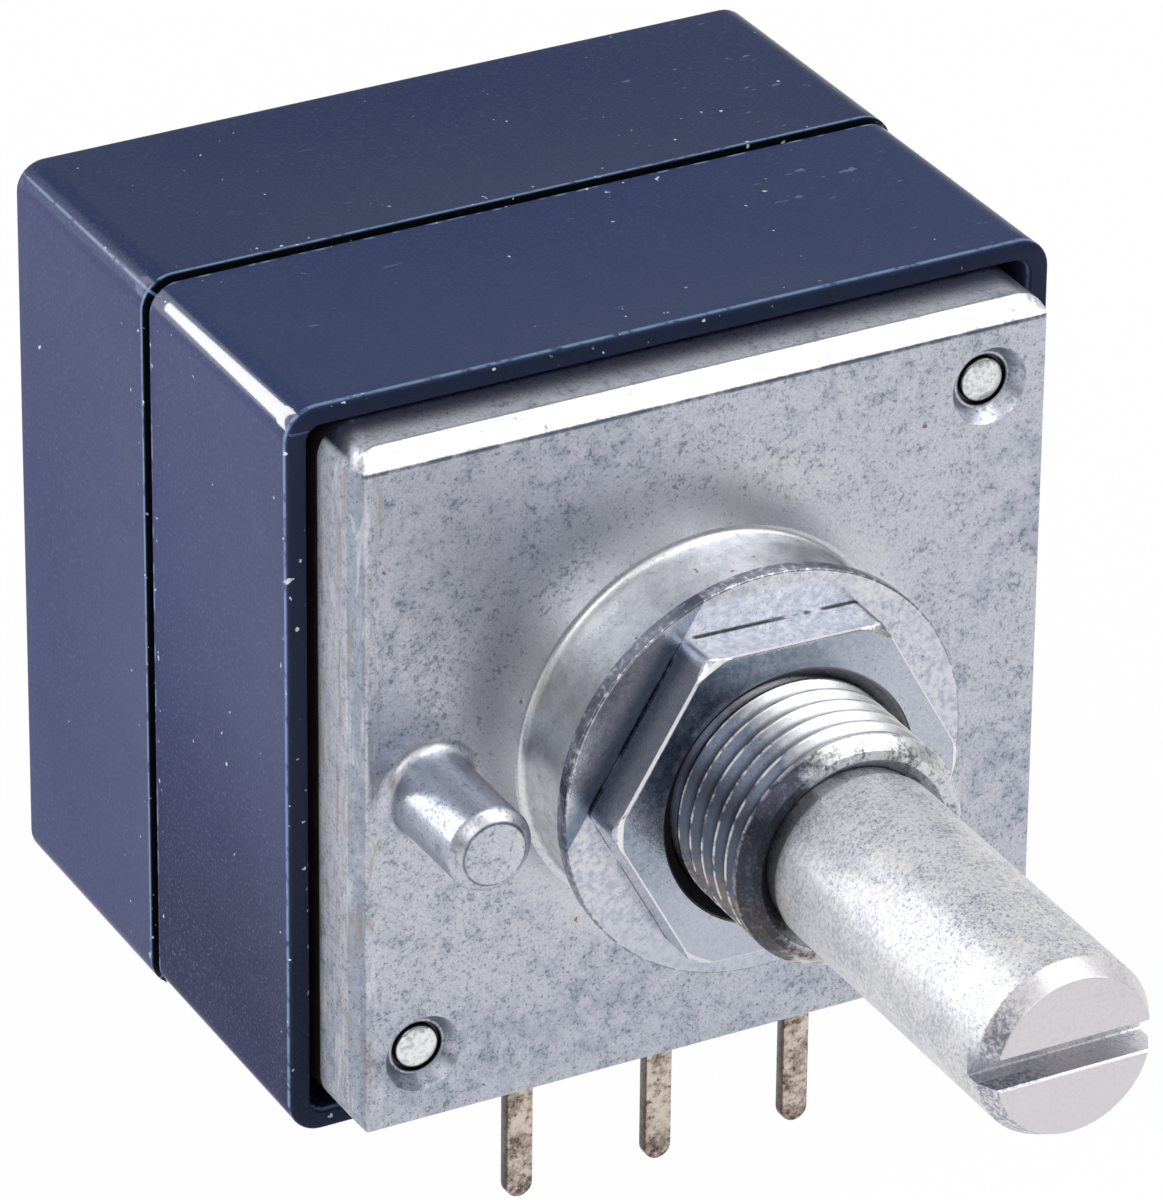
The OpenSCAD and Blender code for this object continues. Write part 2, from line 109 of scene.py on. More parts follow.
def turnedRings(profile, centre=(0, 0), steps=128):
    cx, cz = centre
    turns = [2 * math.pi * k / steps for k in range(steps)]
    rings = []
    for radius, y in softened(profile):
        if radius < 1e-6:
            rings.append([(cx, y, cz)])
        else:
            rings.append([(cx + radius * math.cos(a), y, cz + radius * math.sin(a)) for a in turns])
    return rings


def meshFromRings(rings, closed=False):
    mesh = bmesh.new()
    rows = [[mesh.verts.new(Vector(point) * mm) for point in ring] for ring in rings]
    pairs = list(zip(rows, rows[1:]))
    if closed:
        pairs.append((rows[-1], rows[0]))
    for a, b in pairs:
        count = max(len(a), len(b))
        for i in range(count):
            j = (i + 1) % count
            if len(a) == 1:
                mesh.faces.new([a[0], b[j], b[i]])
            elif len(b) == 1:
                mesh.faces.new([a[i], a[j], b[0]])
            else:
                mesh.faces.new([a[i], a[j], b[j], b[i]])
    if not closed:
        for row in (rows[0], rows[-1]):
            if len(row) > 1:
                mesh.faces.new(row)
    bmesh.ops.remove_doubles(mesh, verts=mesh.verts, dist=1e-7)
    bmesh.ops.dissolve_degenerate(mesh, edges=mesh.edges, dist=1e-7)
    bmesh.ops.recalc_face_normals(mesh, faces=mesh.faces)
    return mesh


def objectFromMeshes(name, meshes):
    data = bpy.data.meshes.new(name)
    joined = bmesh.new()
    for mesh in meshes:
        mesh.to_mesh(data)
        joined.from_mesh(data)
        mesh.free()
    joined.to_mesh(data)
    joined.free()
    piece = bpy.data.objects.new(name, data)
    bpy.context.scene.collection.objects.link(piece)
    return piece


def applied(piece):
    # the modifiers' result becomes the piece's own plain mesh
    bpy.context.view_layer.update()
    depsgraph = bpy.context.evaluated_depsgraph_get()
    data = bpy.data.meshes.new_from_object(piece.evaluated_get(depsgraph), depsgraph=depsgraph)
    piece.modifiers.clear()
    piece.data = data
    return piece


def cutAway(piece, cutterMeshes):
    cutter = objectFromMeshes("cutter", cutterMeshes)
    step = piece.modifiers.new("cut", "BOOLEAN")
    step.operation = "DIFFERENCE"
    step.solver = "EXACT"
    step.object = cutter
    applied(piece)
    bpy.data.objects.remove(cutter)
    return piece


def smoothed(piece, angle=32):
    # smooth faces with sharp creases, the large flat faces kept flat
    piece.data.shade_smooth()
    piece.data.set_sharp_from_angle(angle=math.radians(angle))
    step = piece.modifiers.new("flats", "WEIGHTED_NORMAL")
    step.keep_sharp = True
    step.weight = 80
    return applied(piece)


def boxMesh(low, high):
    mesh = bmesh.new()
    bmesh.ops.create_cube(mesh, size=1)
    for vertex in mesh.verts:
        co = vertex.co
        vertex.co = Vector([(low[i] + high[i]) / 2 + co[i] * (high[i] - low[i]) for i in range(3)]) * mm
    return mesh


def dress(piece, material, body, slotName, *nodes):
    piece.data.materials.clear()
    piece.data.materials.append(material)
    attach(piece, body)
    if nodes:
        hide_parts(*nodes)
    return piece


# Materials: patterns in Object coordinates, scaled to millimetres
def newMaterial(name):
    material = bpy.data.materials.new(name)
    material.use_nodes = True
    material.node_tree.nodes.clear()
    return material, Wire(material.node_tree)


def placeInMm(wire, stretch=(1, 1, 1)):
    place = wire.make("ShaderNodeTexCoord", out="Object")
    scale = [1000 * part for part in stretch]
    return place.make("ShaderNodeMapping", {}, {"Vector": place, "Scale": scale})


def noise(place, scale, detail=2.0, roughness=0.5, distortion=0.0):
    values = {
        "Vector": place, "Scale": scale, "Detail": detail,
        "Roughness": roughness, "Distortion": distortion,
    }
    return place.make("ShaderNodeTexNoise", {}, values)


def between(value, low, high):
    # 0 below low, 1 above high, smooth in between
    values = {"Value": value, "From Min": low, "From Max": high, "To Min": 0.0, "To Max": 1.0}
    return value.make("ShaderNodeMapRange", {"interpolation_type": "SMOOTHSTEP"}, values)


def below(value, low, high):
    # the reverse: 1 below low, 0 above high
    return 1 - between(value, low, high)


def onLine(value, middle, inner, outer):
    # 1 within inner of the middle, 0 beyond outer
    return below(magnitude(value - middle), inner, outer)


def blended(mask, first, second):
    values = {0: mask, 6: first, 7: second}
    return mask.make("ShaderNodeMix", {"data_type": "RGBA"}, values, out=2)


def layered(base, *layers):
    # tones laid over the base one after another, each through its own mask
    for mask, tone in layers:
        base = blended(mask, base, tone)
    return base


def colour(red, green, blue):
    return (red, green, blue, 1.0)


def surfaceOutput(wire, surface):
    node = wire.tree.nodes.new("ShaderNodeOutputMaterial")
    wire.tree.links.new(surface.socket, node.inputs["Surface"])


def finishMaterial(material, wire, varying, fixed, bump, bumpHeight):
    # bumpHeight is in millimetres
    values = dict(fixed)
    values.update(varying)
    relief = {"Height": bump, "Strength": 1.0, "Distance": bumpHeight * mm}
    values["Normal"] = wire.make("ShaderNodeBump", {}, relief)
    surfaceOutput(wire, wire.make("ShaderNodeBsdfPrincipled", {}, values))
    return material


def vectorMaths(place, operation, first, second, out=0):
    values = {0: first, 1: second} if second is not None else {0: first}
    return place.make("ShaderNodeVectorMath", {"operation": operation}, values, out=out)


def distanceFrom(place, point, stretch=(1, 1, 1)):
    scaled = vectorMaths(place, "MULTIPLY", vectorMaths(place, "SUBTRACT", place, point), stretch)
    return vectorMaths(place, "LENGTH", scaled, None, out="Value")


def axisPart(place, axis):
    return place.make("ShaderNodeSeparateXYZ", {}, {0: place}, out=axis)


def magnitude(value):
    return value.maths("ABSOLUTE", value)


def larger(first, second):
    return first.maths("MAXIMUM", first, second)


def smaller(first, second):
    return first.maths("MINIMUM", first, second)


def reachFrom(place, x, z):
    # distance from an axis along Y through this place
    return distanceFrom(place, (x, 0, z), (1, 0, 1))


def reachFromRivets(place):
    first, second = (reachFrom(place, x, z) for x, z in rivetPlaces)
    return smaller(first, second)


# The masks' bare numbers are places on the part in millimetres, or steps of the noise
zincLook = {
    "bright": colour(0.56, 0.57, 0.63),
    "dull": colour(0.31, 0.35, 0.43),
    "bluish": colour(0.31, 0.38, 0.49),
    "speck": colour(0.08, 0.10, 0.15),
    "polishedAndHighlight": colour(0.80, 0.80, 0.80),
    "rust": colour(0.22, 0.10, 0.06),
    "coolThread": colour(0.035, 0.055, 0.10),
    "warmThread": colour(0.27, 0.21, 0.17),
    "stainAndShade": colour(0.035, 0.035, 0.045),
    "speckScale": 7.0, "grainScale": 12.0, "mottleScale": 1.7, "broadScale": 0.17,
    "rustScale": 1.9, "pepperScale": 7.5, "streakScale": 1.2, "streakStretch": (1.8, 1.8, 0.3),
    "roughness": 0.30,
    "grainHeight": 0.010,
    "dullSpot": (-4.5, 3.2, 4.5), "paleSpot": (-7.2, 3.2, 1.5), "bossFoot": (0, 3.2, 0),
    "lowerZone": (-11.0, -4.0), "lowerEdge": (-12.12, -12.02),
    "upperBevel": (11.56, 11.64), "bevelFoot": 11.53, "bevelTop": 3.87,
    "sideBevel": (11.98, 12.05), "sideWall": (12.05, 12.2), "bevelDepth": (3.78, 3.86),
    "bossSide": (6.1, 6.2), "bossFootReach": (6.9, 7.1), "bossDepth": (3.0, 3.15),
    "lugSide": (1.5, 1.75), "lugDepth": (2.7, 3.1), "lugEndReach": 1.07,
    "threadReach": (4.02, 4.06), "threadCrest": (3.95, 3.99), "threadRoot": (3.70, 3.84),
    "rivetSeat": (0.88, 0.94), "bushingEnd": (-5.95, -5.75),
}


def castZinc(name, look):
    material, wire = newMaterial(name)
    place = placeInMm(wire)
    x, y, z = (axisPart(place, axis) for axis in "XYZ")
    reach, lugReach = reachFrom(place, 0, 0), reachFrom(place, *lugPlace)
    specks = noise(place, look["speckScale"], 4.0, 0.7)
    mottle = noise(place, look["mottleScale"], 4.0, 0.65)
    broad = noise(place, look["broadScale"], 2.0)
    grain = noise(place, look["grainScale"], 3.0, 0.75)
    rustSpots = noise(place, look["rustScale"], 2.0)
    pepperSpots = noise(place, look["pepperScale"], 2.0, 0.6)
    streaks = noise(placeInMm(wire, look["streakStretch"]), look["streakScale"], 3.0, 0.7, 0.5)

    # where the parts of the casting are
    nearFace = below(y, *look["bevelDepth"])
    bevel = between(z, *look["upperBevel"]) * nearFace
    sideBevel = between(magnitude(x), *look["sideBevel"]) * nearFace
    sideWall = between(magnitude(x), *look["sideWall"])
    leftEdge = between(0 - x, 11.3, 11.6) * between(y, 3.1, 3.15)
    boss = between(reach, *look["bossSide"]) * below(reach, *look["bossFootReach"])
    boss = boss * below(y, *look["bossDepth"])
    lug = below(lugReach, *look["lugSide"]) * below(y, *look["lugDepth"])
    thread = below(reach, *look["threadReach"]) * below(y, -0.6, -0.5)

    # duller left of the boss; painted light brightens the plate close round its foot, on the boss, further
    # left and to its upper left, against lamp shadow and the boss's dark reflection
    fromFoot = distanceFrom(place, look["bossFoot"], (1, 0.2, 1))
    shade = below(distanceFrom(place, look["dullSpot"], (1, 0.5, 1.1)), 2.0, 8.5)
    lift = below(distanceFrom(place, look["paleSpot"], (1, 0.5, 0.8)), 1.5, 5.0)
    halo = below(fromFoot, 7.0, 8.4)
    ring = below(fromFoot, 7.6, 10.2) * between(z - x, 1.0, 7.0)
    dullness = mottle * 0.9 + broad * 0.5 + shade * 0.03 + sideBevel * 0.3 - halo * 0.12
    dullness = between(dullness, 0.62, 1.05)
    # painted light: the brightening round and on the boss
    paintedLight = larger(larger(lift * 0.35, boss * 0.6), larger(halo * 0.3, ring * 0.65))
    base = layered(
        blended(dullness, look["bright"], look["dull"]),
        (between(grain, 0.42, 0.72) * 0.65, look["dull"]),
        (boss * between(mottle + grain * 0.3, 0.54, 0.76) * 0.75, look["speck"]),
        (paintedLight, look["polishedAndHighlight"]),
        (below(z, *look["lowerZone"]) * 0.15, look["dull"]),
        (shade * 0.10, look["bluish"]),
        # the lug's turned side is duller than its end
        (lug * between(y, -0.9, -0.8) * 0.5, look["dull"]),
        (below(z, *look["lowerEdge"]) * 0.6, look["speck"]),
    )

    # specks and pores, with dark lines along both borders of the upper bevel
    under = onLine(z, look["bevelFoot"], 0.03, 0.09) * below(y, 3.30, 3.36)
    under = under * between(mottle, 0.30, 0.55)
    over = onLine(y, look["bevelTop"], 0.02, 0.06) * between(z, 12.05, 12.12) * 0.5
    pepper = between(pepperSpots, 0.60, 0.68) * (0.7 - between(z, -8.0, 0.0) * 0.35)
    pepper = pepper * (1 - halo * 0.5)
    speckMask = between(specks + mottle * 0.35 + shade * 0.03 - halo * 0.08, 0.70, 0.86) * 0.6
    speckMask = larger(larger(speckMask, pepper), larger(under * 0.75, over))
    base = layered(
        base,
        (speckMask, look["speck"]),
        (between(rustSpots, 0.75, 0.765) * 0.8, look["rust"]),
        # painted highlight along the upper bevel
        (bevel * between(mottle + grain * 0.4, 0.95, 0.60) * 0.8, look["polishedAndHighlight"]),
        # brownish drawn marks down the plate's left edge, and bright streaks there that are painted highlight
        (leftEdge * between(streaks, 0.52, 0.66) * 0.45, look["warmThread"]),
        (leftEdge * between(streaks, 0.46, 0.36) * 0.35, look["polishedAndHighlight"]),
    )

    # painted shade on the thread: blue-black on its left, brownish below that, and painted highlight on its
    # top
    cool = between(z * 0.1 - x + mottle, 1.7, 3.1)
    warm = between(x * -0.2 - z, 0.6, 2.2)
    crest = thread * between(reach, *look["threadCrest"])
    root = thread * below(reach, *look["threadRoot"]) * between(y, -5.6, -5.5)
    lugRing = onLine(lugReach, look["lugEndReach"], 0.02, 0.06) * below(y, -1.17, -1.12)
    seat = below(reachFromRivets(place), *look["rivetSeat"])
    bushingEnd = between(specks * 0.7 + mottle * 0.6 + cool * 0.15, 0.58, 0.84)
    bushingEnd = below(y, *look["bushingEnd"]) * bushingEnd
    base = layered(
        base,
        (thread * cool * 0.9, look["coolThread"]),
        (thread * warm * between(mottle, 0.3, 0.6) * 0.7, look["warmThread"]),
        (thread * between(z + x * 0.5, 2.6, 4.0) * 0.5, look["polishedAndHighlight"]),
        (crest * between(mottle, 0.40, 0.60) * 0.8, look["polishedAndHighlight"]),
        (root * 0.75, look["stainAndShade"]),
        (lugRing * between(mottle, 0.3, 0.5) * 0.7, look["speck"]),
        # painted shade in the seats round the rivets' ends; the end of the bushing darker, partly stain and
        # partly painted shade on its left
        (larger(seat * 0.95, bushingEnd * 0.85), look["stainAndShade"]),
    )
    height = grain * 0.5 + specks * 0.35 - speckMask * 0.5
    # the plate's side walls, never rubbed, keep a dull oxide
    roughness = look["roughness"] + dullness * 0.08 + (grain - 0.5) * 0.2 + sideWall * 0.2 - bevel * 0.06
    varying = {"Base Color": base, "Metallic": 1 - sideWall * 0.75, "Roughness": roughness}
    return finishMaterial(material, wire, varying, {}, height * (1 - bevel * 0.7), look["grainHeight"])


platedLook = {
    "bright": colour(0.64, 0.65, 0.70),
    "dull": colour(0.42, 0.45, 0.53),
    "mark": colour(0.06, 0.07, 0.11),
    "shade": colour(0.20, 0.25, 0.34),
    "navy": colour(0.09, 0.13, 0.21),
    "polishedAndHighlight": colour(0.88, 0.88, 0.88),
    "paintedShadow": colour(0.012, 0.012, 0.016),
    "speckScale": 9.0, "mottleScale": 4.0, "patchScale": 0.8, "grainScale": 16.0,
    "roughness": 0.2,
    "grainHeight": 0.006,
    "nutFace": (-2.19, -2.12), "nutSide": (-2.15, -2.05), "nutFoot": (-0.70, -0.62),
    "washerFace": (-0.56, -0.552), "washerBorder": 7.02, "threadMouth": (4.42, 4.5),
    "facetNormal": (0.853, 0.522),
}


def platedSteel(name, look):
    material, wire = newMaterial(name)
    place = placeInMm(wire)
    x, y, z = (axisPart(place, axis) for axis in "XYZ")
    reach = reachFrom(place, 0, 0)
    specks = noise(place, look["speckScale"], 4.0, 0.7)
    mottle = noise(place, look["mottleScale"], 3.0, 0.6)
    patches = noise(place, look["patchScale"], 2.0)
    grain = noise(place, look["grainScale"], 2.0, 0.6)
    marks = between(specks + patches * 0.35, 0.74, 0.90)
    # the nut's front face is darker up to the left, and painted shade fills the mouth of its thread, less of
    # it to the right
    onFace = below(y, *look["nutFace"])
    faceShade = onFace * between(z - x + mottle * 6.0, 1.5, 9.0)
    faceShade = faceShade * (0.3 + between(mottle * 0.7 + specks * 0.4, 0.70, 0.42) * 0.7)
    # painted shade on its upper left facet, and on the washer's face next to it
    facetX, facetZ = look["facetNormal"]
    facetReach = z * facetZ - x * facetX
    facet = between(facetReach, 5.2, 5.3) * below(y, -0.57, -0.56) * between(y, *look["nutSide"])
    washerShade = between(facetReach, 5.37, 5.41) * below(facetReach + mottle * 0.8, 6.1, 6.7)
    washerShade = washerShade * between(y, *look["washerFace"])
    # painted highlight on the upper facet and front edges, and painted shadow along the foot of all six
    # facets
    upper = between(z + x * 0.026, 5.3, 5.36) * between(y, -2.15, -2.10)
    rim = between(y, -2.198, -2.19) * below(y, -2.11, -2.08)
    foot = between(y, *look["nutFoot"]) * below(y, -0.56, -0.555)
    mouth = below(reach, *look["threadMouth"]) * between(y, -2.195, -2.12)
    mouthShade = mouth * (0.95 - between(x + z * 0.3, -0.5, 2.5) * 0.5)
    # painted shadow: a dark line round the washer's border
    rimLine = onLine(reach, look["washerBorder"], 0.02, 0.05) * between(mottle, 0.35, 0.5)
    base = layered(
        blended(between(mottle, 0.38, 0.68), look["bright"], look["dull"]),
        (marks * 0.6, look["mark"]),
        (onFace * between(mottle + specks * 0.4, 0.78, 0.60) * 0.45, look["shade"]),
        (faceShade, look["shade"]),
        (facet * between(mottle, 0.62, 0.42) * 0.3, look["shade"]),
        (washerShade * 0.8, look["navy"]),
        (larger(upper * 0.15, rim * 0.8), look["polishedAndHighlight"]),
        (below(z, -6.5, -1.5) * 0.5, look["dull"]),
        (foot * between(patches, 0.36, 0.46) * 0.9, look["paintedShadow"]),
        (larger(mouthShade, rimLine * 0.6), look["paintedShadow"]),
    )
    roughness = look["roughness"] + (grain - 0.5) * 0.18 + marks * 0.2 + mouth * 0.4
    varying = {"Base Color": base, "Roughness": roughness}
    height = grain * 0.6 + specks * 0.4
    return finishMaterial(material, wire, varying, {"Metallic": 1.0}, height, look["grainHeight"])


shaftLook = {
    "bright": colour(0.77, 0.76, 0.78),
    "dull": colour(0.56, 0.57, 0.62),
    "speck": colour(0.20, 0.23, 0.30),
    "face": colour(0.72, 0.68, 0.71),
    "grainScale": 6.0, "fineScale": 13.0, "patchScale": 0.9,
    "roughness": 0.47,
    "grainHeight": 0.010,
    "endFace": (-19.49, -19.46), "chamfer": (-18.84, -18.80),
}


def satinSteel(name, look):
    material, wire = newMaterial(name)
    place = placeInMm(wire)
    x, y, z = (axisPart(place, axis) for axis in "XYZ")
    grain = noise(place, look["grainScale"], 4.0, 0.75)
    fine = noise(place, look["fineScale"], 2.0, 0.7)
    patches = noise(place, look["patchScale"], 2.0)
    specks = between(fine + grain * 0.5 + patches * 0.2, 0.90, 1.04)
    # the turned end face is plainer, its chamfer clean above, with dark spots to the left that paint shade
    endFace = below(y, *look["endFace"])
    chamfer = below(y, *look["chamfer"]) * (1 - endFace)
    chamferShade = chamfer * between(0 - x - z * 0.4, 0.4, 1.8)
    base = layered(
        blended(between(grain + patches * 0.25, 0.52, 0.76), look["bright"], look["dull"]),
        (specks * (0.35 + between(z + x * 0.5, -1.2, 1.2) * 0.5), look["speck"]),
        (below(z, -2.6, -0.6) * 0.6, look["dull"]),
        (larger(endFace * 0.85, chamfer * 0.6), look["face"]),
        (chamferShade * between(grain, 0.40, 0.58) * 0.8, look["speck"]),
    )
    roughness = look["roughness"] + (fine - 0.5) * 0.25 - chamfer * 0.14
    varying = {"Base Color": base, "Roughness": roughness}
    height = (grain * 0.5 + fine * 0.5) * (1 - endFace * 0.6)
    return finishMaterial(material, wire, varying, {"Metallic": 1.0}, height, look["grainHeight"])


rivetLook = {
    "bright": colour(0.80, 0.81, 0.82),
    "dull": colour(0.50, 0.52, 0.55),
    "ring": colour(0.02, 0.02, 0.025),
    "roughness": 0.22,
    "peenScale": 1.7, "grainScale": 6.0,
    "grainHeight": 0.06,
    "ringReach": (0.69, 0.74),
}


def peenedMetal(name, look):
    material, wire = newMaterial(name)
    place = placeInMm(wire)
    peening = {"Vector": place, "Scale": look["peenScale"]}
    dents = place.make("ShaderNodeTexVoronoi", {}, peening, out="Distance")
    grain = noise(place, look["grainScale"], 2.0)
    base = blended(between(grain + dents * 0.2, 0.50, 0.85), look["bright"], look["dull"])
    # painted shade: a dark ring round each end, in front only, where the end meets its seat
    ring = between(reachFromRivets(place), *look["ringReach"]) * below(axisPart(place, "Y"), 4.5, 5.5)
    base = blended(ring * 0.95, base, look["ring"])
    varying = {"Base Color": base, "Roughness": look["roughness"] + (grain - 0.5) * 0.2}
    height = dents * 0.95 + grain * 0.05
    return finishMaterial(material, wire, varying, {"Metallic": 1.0}, height, look["grainHeight"])


mouldingLook = {
    "side": colour(0.052, 0.064, 0.158),
    "top": colour(0.023, 0.040, 0.113),
    "low": colour(0.010, 0.017, 0.070),
    "grain": colour(0.125, 0.125, 0.245),
    "rim": colour(0.014, 0.020, 0.042),
    "groove": colour(0.003, 0.004, 0.006),
    "wornAndHighlight": colour(0.20, 0.31, 0.50),
    "dust": colour(0.75, 0.78, 0.86),
    "roughness": 0.42,
    "gloss": {"Specular IOR Level": 0.08, "IOR": 1.5, "Coat Roughness": 0.06, "Coat IOR": 1.8},
    "grainHeight": 0.006,
    "topFace": (12.3, 12.75), "seam": 15.6, "frontShell": (15.3, 15.5), "shellRim": (5.62, 5.70),
    "highlightLines": (15.81, 5.76, 15.40), "ridge": (12.4, 11.85), "ridgeNormal": (0.64, 0.77),
}


def blueMoulding(name, look):
    material, wire = newMaterial(name)
    place = placeInMm(wire)
    x, y, z = (axisPart(place, axis) for axis in "XYZ")
    broad = noise(place, 0.09, 2.0)
    grain = noise(place, 9.0, 3.0, 0.7)
    smudge = noise(placeInMm(wire, (1, 0.5, 1)), 0.55, 3.0, 0.6)
    highlightBreaks = noise(place, 2.2, 3.0, 0.6)
    seam = look["seam"]
    inFront = below(y, *look["frontShell"])
    onTop = between(magnitude(z), *look["topFace"])
    # painted shade: the top deeper in colour than the sides, the rear shell's top deeper still, and the front
    # shell's sides darker downwards
    low = inFront * below(z + broad * 6.0, -7.0, 7.0)
    base = layered(
        blended(low, look["side"], look["low"]),
        (onTop, look["top"]),
        (onTop * (1 - inFront) * 0.4, look["low"]),
        (between(grain, 0.50, 0.70) * (0.6 - onTop * 0.35), look["grain"]),
    )
    # painted shade on the front rim and in the groove, and painted highlight lines along the shells' edges
    rim = below(y, *look["shellRim"])
    groove = onLine(y, seam, 0.12, 0.15)
    base = blended(groove, blended(rim * 0.85, base, look["rim"]), look["groove"])
    rearLine, rimLine, frontLine = look["highlightLines"]
    line = larger(onLine(y, rearLine, 0.03, 0.08), onLine(y, rimLine, 0.04, 0.11))
    line = larger(line, onLine(y, frontLine, 0.02, 0.06) * between(noise(place, 1.1, 2.0), 0.45, 0.6))
    base = blended(line * between(highlightBreaks, 0.30, 0.50) * 0.85, base, look["wornAndHighlight"])
    # scratches along the shells and scuffs on the top
    scratchField = noise(placeInMm(wire, (0.25, 2.2, 1.6)), 1.4, 2.0, 0.5, 0.6)
    scuffField = noise(placeInMm(wire, (0.5, 1.4, 1.0)), 1.6, 3.0, 0.65)
    scuffs = between(scuffField, 0.66, 0.72) * between(x + y * 0.2, 7.0, 12.0) * onTop * 0.5
    scratches = larger(between(scratchField, 0.75, 0.78) * 0.3, scuffs)
    # white specks of dust, most of them near the groove
    flecks = noise(place, 3.0, 2.0, 0.5)
    dusty = noise(place, 0.5, 2.0)
    nearEdge = larger(onLine(y, seam, 0.3, 1.2), below(y, 5.7, 6.6))
    dust = between(flecks + dusty * 0.18 + nearEdge * 0.06, 0.85, 0.89)
    # the long round edges came glossier out of the mould, the front shell's most of all
    ridgeX, ridgeZ = look["ridge"]
    acrossX, acrossZ = look["ridgeNormal"]
    roundEdge = between(magnitude(x), 12.5, 12.9) * between(magnitude(z), 12.0, 12.35)
    roundEdge = roundEdge * between(y, 5.70, 5.80)
    offRidge = magnitude((magnitude(x) - ridgeX) * acrossX - (magnitude(z) - ridgeZ) * acrossZ)
    coat = roundEdge * below(offRidge, 0.26, 0.36) * (0.12 + inFront * 0.88)
    # painted highlight: a thin light line along the rear shell's round edges
    ridge = roundEdge * (1 - inFront) * below(offRidge, 0.02, 0.07)
    base = layered(
        base,
        (scratches, look["wornAndHighlight"]),
        (dust * 0.9, look["dust"]),
        (ridge * between(highlightBreaks, 0.30, 0.50) * 0.8, look["wornAndHighlight"]),
    )
    roughness = look["roughness"] + (smudge - 0.5) * 0.14 + (grain - 0.5) * 0.1
    roughness = roughness + dust * 0.3 - roundEdge * 0.15
    bump = grain * 0.6 + dust * 0.6 - scratches * 0.5
    varying = {"Base Color": base, "Roughness": roughness, "Coat Weight": coat}
    return finishMaterial(material, wire, varying, look["gloss"], bump, look["grainHeight"])


pinLook = {
    "bright": colour(0.66, 0.58, 0.50),
    "dull": colour(0.33, 0.26, 0.22),
    "tarnish": colour(0.10, 0.055, 0.045),
    "spot": colour(0.04, 0.028, 0.024),
    "side": colour(0.030, 0.025, 0.022),
    "mottleScale": 1.6, "grainScale": 5.0,
    "roughness": 0.34,
    "grainHeight": 0.01,
    "shadedSides": (0.43, 0.47), "tipZone": (-16.6, -14.8),
}


def tinnedPin(name, look):
    material, wire = newMaterial(name)
    place = placeInMm(wire)
    x = axisPart(place, "X")
    mottle = noise(place, look["mottleScale"], 3.0, 0.65)
    grain = noise(place, look["grainScale"], 4.0, 0.7)
    tip = below(axisPart(place, "Z") + mottle * 3.0, *look["tipZone"])
    # distance from the middle plane of the nearest pin
    offAxis = smaller(magnitude(x), smaller(magnitude(x - pinPitch), magnitude(x + pinPitch)))
    base = layered(
        blended(between(mottle + grain * 0.6, 0.66, 0.92), look["bright"], look["dull"]),
        (tip * between(grain, 0.35, 0.60) * 0.9, look["tarnish"]),
        (between(grain + mottle * 0.4, 0.74, 0.86) * 0.7, look["spot"]),
        # painted shade: both sides of each strip darker
        (between(offAxis, *look["shadedSides"]) * 0.85, look["side"]),
    )
    roughness = look["roughness"] + tip * 0.12 + (grain - 0.5) * 0.2
    varying = {"Base Color": base, "Roughness": roughness}
    height = grain * 0.6 + mottle * 0.4
    return finishMaterial(material, wire, varying, {"Metallic": 0.9}, height, look["grainHeight"])


def innerLook(first, second, metallic, roughness, scale):
    look = {"first": colour(*first), "second": colour(*second)}
    look.update(metallic=metallic, roughness=roughness, scale=scale)
    return look


innerLooks = {
    "spring_bronze": innerLook((0.62, 0.36, 0.16), (0.42, 0.24, 0.11), 1.0, 0.32, 2.5),
    "clip_steel": innerLook((0.30, 0.31, 0.34), (0.16, 0.17, 0.20), 1.0, 0.4, 2.0),
    # near black boards: painted shade for the gaps they are seen through
    "board_laminate": innerLook((0.030, 0.022, 0.018), (0.018, 0.014, 0.012), 0.0, 0.55, 1.2),
    "carbon_film": innerLook((0.020, 0.020, 0.022), (0.045, 0.045, 0.05), 0.0, 0.6, 3.0),
    "silver_film": innerLook((0.62, 0.62, 0.60), (0.42, 0.42, 0.41), 1.0, 0.45, 3.0),
    "rotor_moulding": innerLook((0.62, 0.58, 0.48), (0.50, 0.46, 0.37), 0.0, 0.5, 0.8),
    "black_sheet": innerLook((0.012, 0.012, 0.016), (0.03, 0.03, 0.036), 0.0, 0.6, 1.5),
}


def innerFinish(name, look):
    material, wire = newMaterial(name)
    place = placeInMm(wire)
    patches = noise(place, look["scale"], 3.0, 0.6)
    grain = noise(place, 11.0, 2.0)
    base = blended(between(patches, 0.35, 0.65), look["first"], look["second"])
    varying = {"Base Color": base, "Roughness": look["roughness"] + (grain - 0.5) * 0.15}
    return finishMaterial(material, wire, varying, {"Metallic": look["metallic"]}, grain, 0.006)


zinc = castZinc("castZinc", zincLook)
plated = platedSteel("platedSteel", platedLook)
shaftSteel = satinSteel("satinSteel", shaftLook)
rivetMetal = peenedMetal("peenedMetal", rivetLook)
moulding = blueMoulding("blueMoulding", mouldingLook)
pinMetal = tinnedPin("tinnedPin", pinLook)
inner = {name: innerFinish(name, look) for name, look in innerLooks.items()}
print("materials made:", 6 + len(inner))


# Geometry Nodes: a new tree with its named inputs, and the end that all trees share
def newTree(name, inputs):
    tree = bpy.data.node_groups.new(name, "GeometryNodeTree")
    tree.interface.new_socket(name="Geometry", in_out="OUTPUT", socket_type="NodeSocketGeometry")
    for title, kind in inputs.items():
        tree.interface.new_socket(name=title, in_out="INPUT", socket_type="NodeSocket" + kind)
    given = tree.nodes.new("NodeGroupInput")
    return tree, {title: Wire(tree, given.outputs[title]) for title in inputs}


def endTree(tree, geometry, material):
    plain = geometry.make("GeometryNodeRealizeInstances", {}, {"Geometry": geometry})
    dressed = plain.make("GeometryNodeSetMaterial", {}, {"Geometry": plain, "Material": material})
    tree.links.new(dressed.socket, tree.nodes.new("NodeGroupOutput").inputs["Geometry"])
    return tree


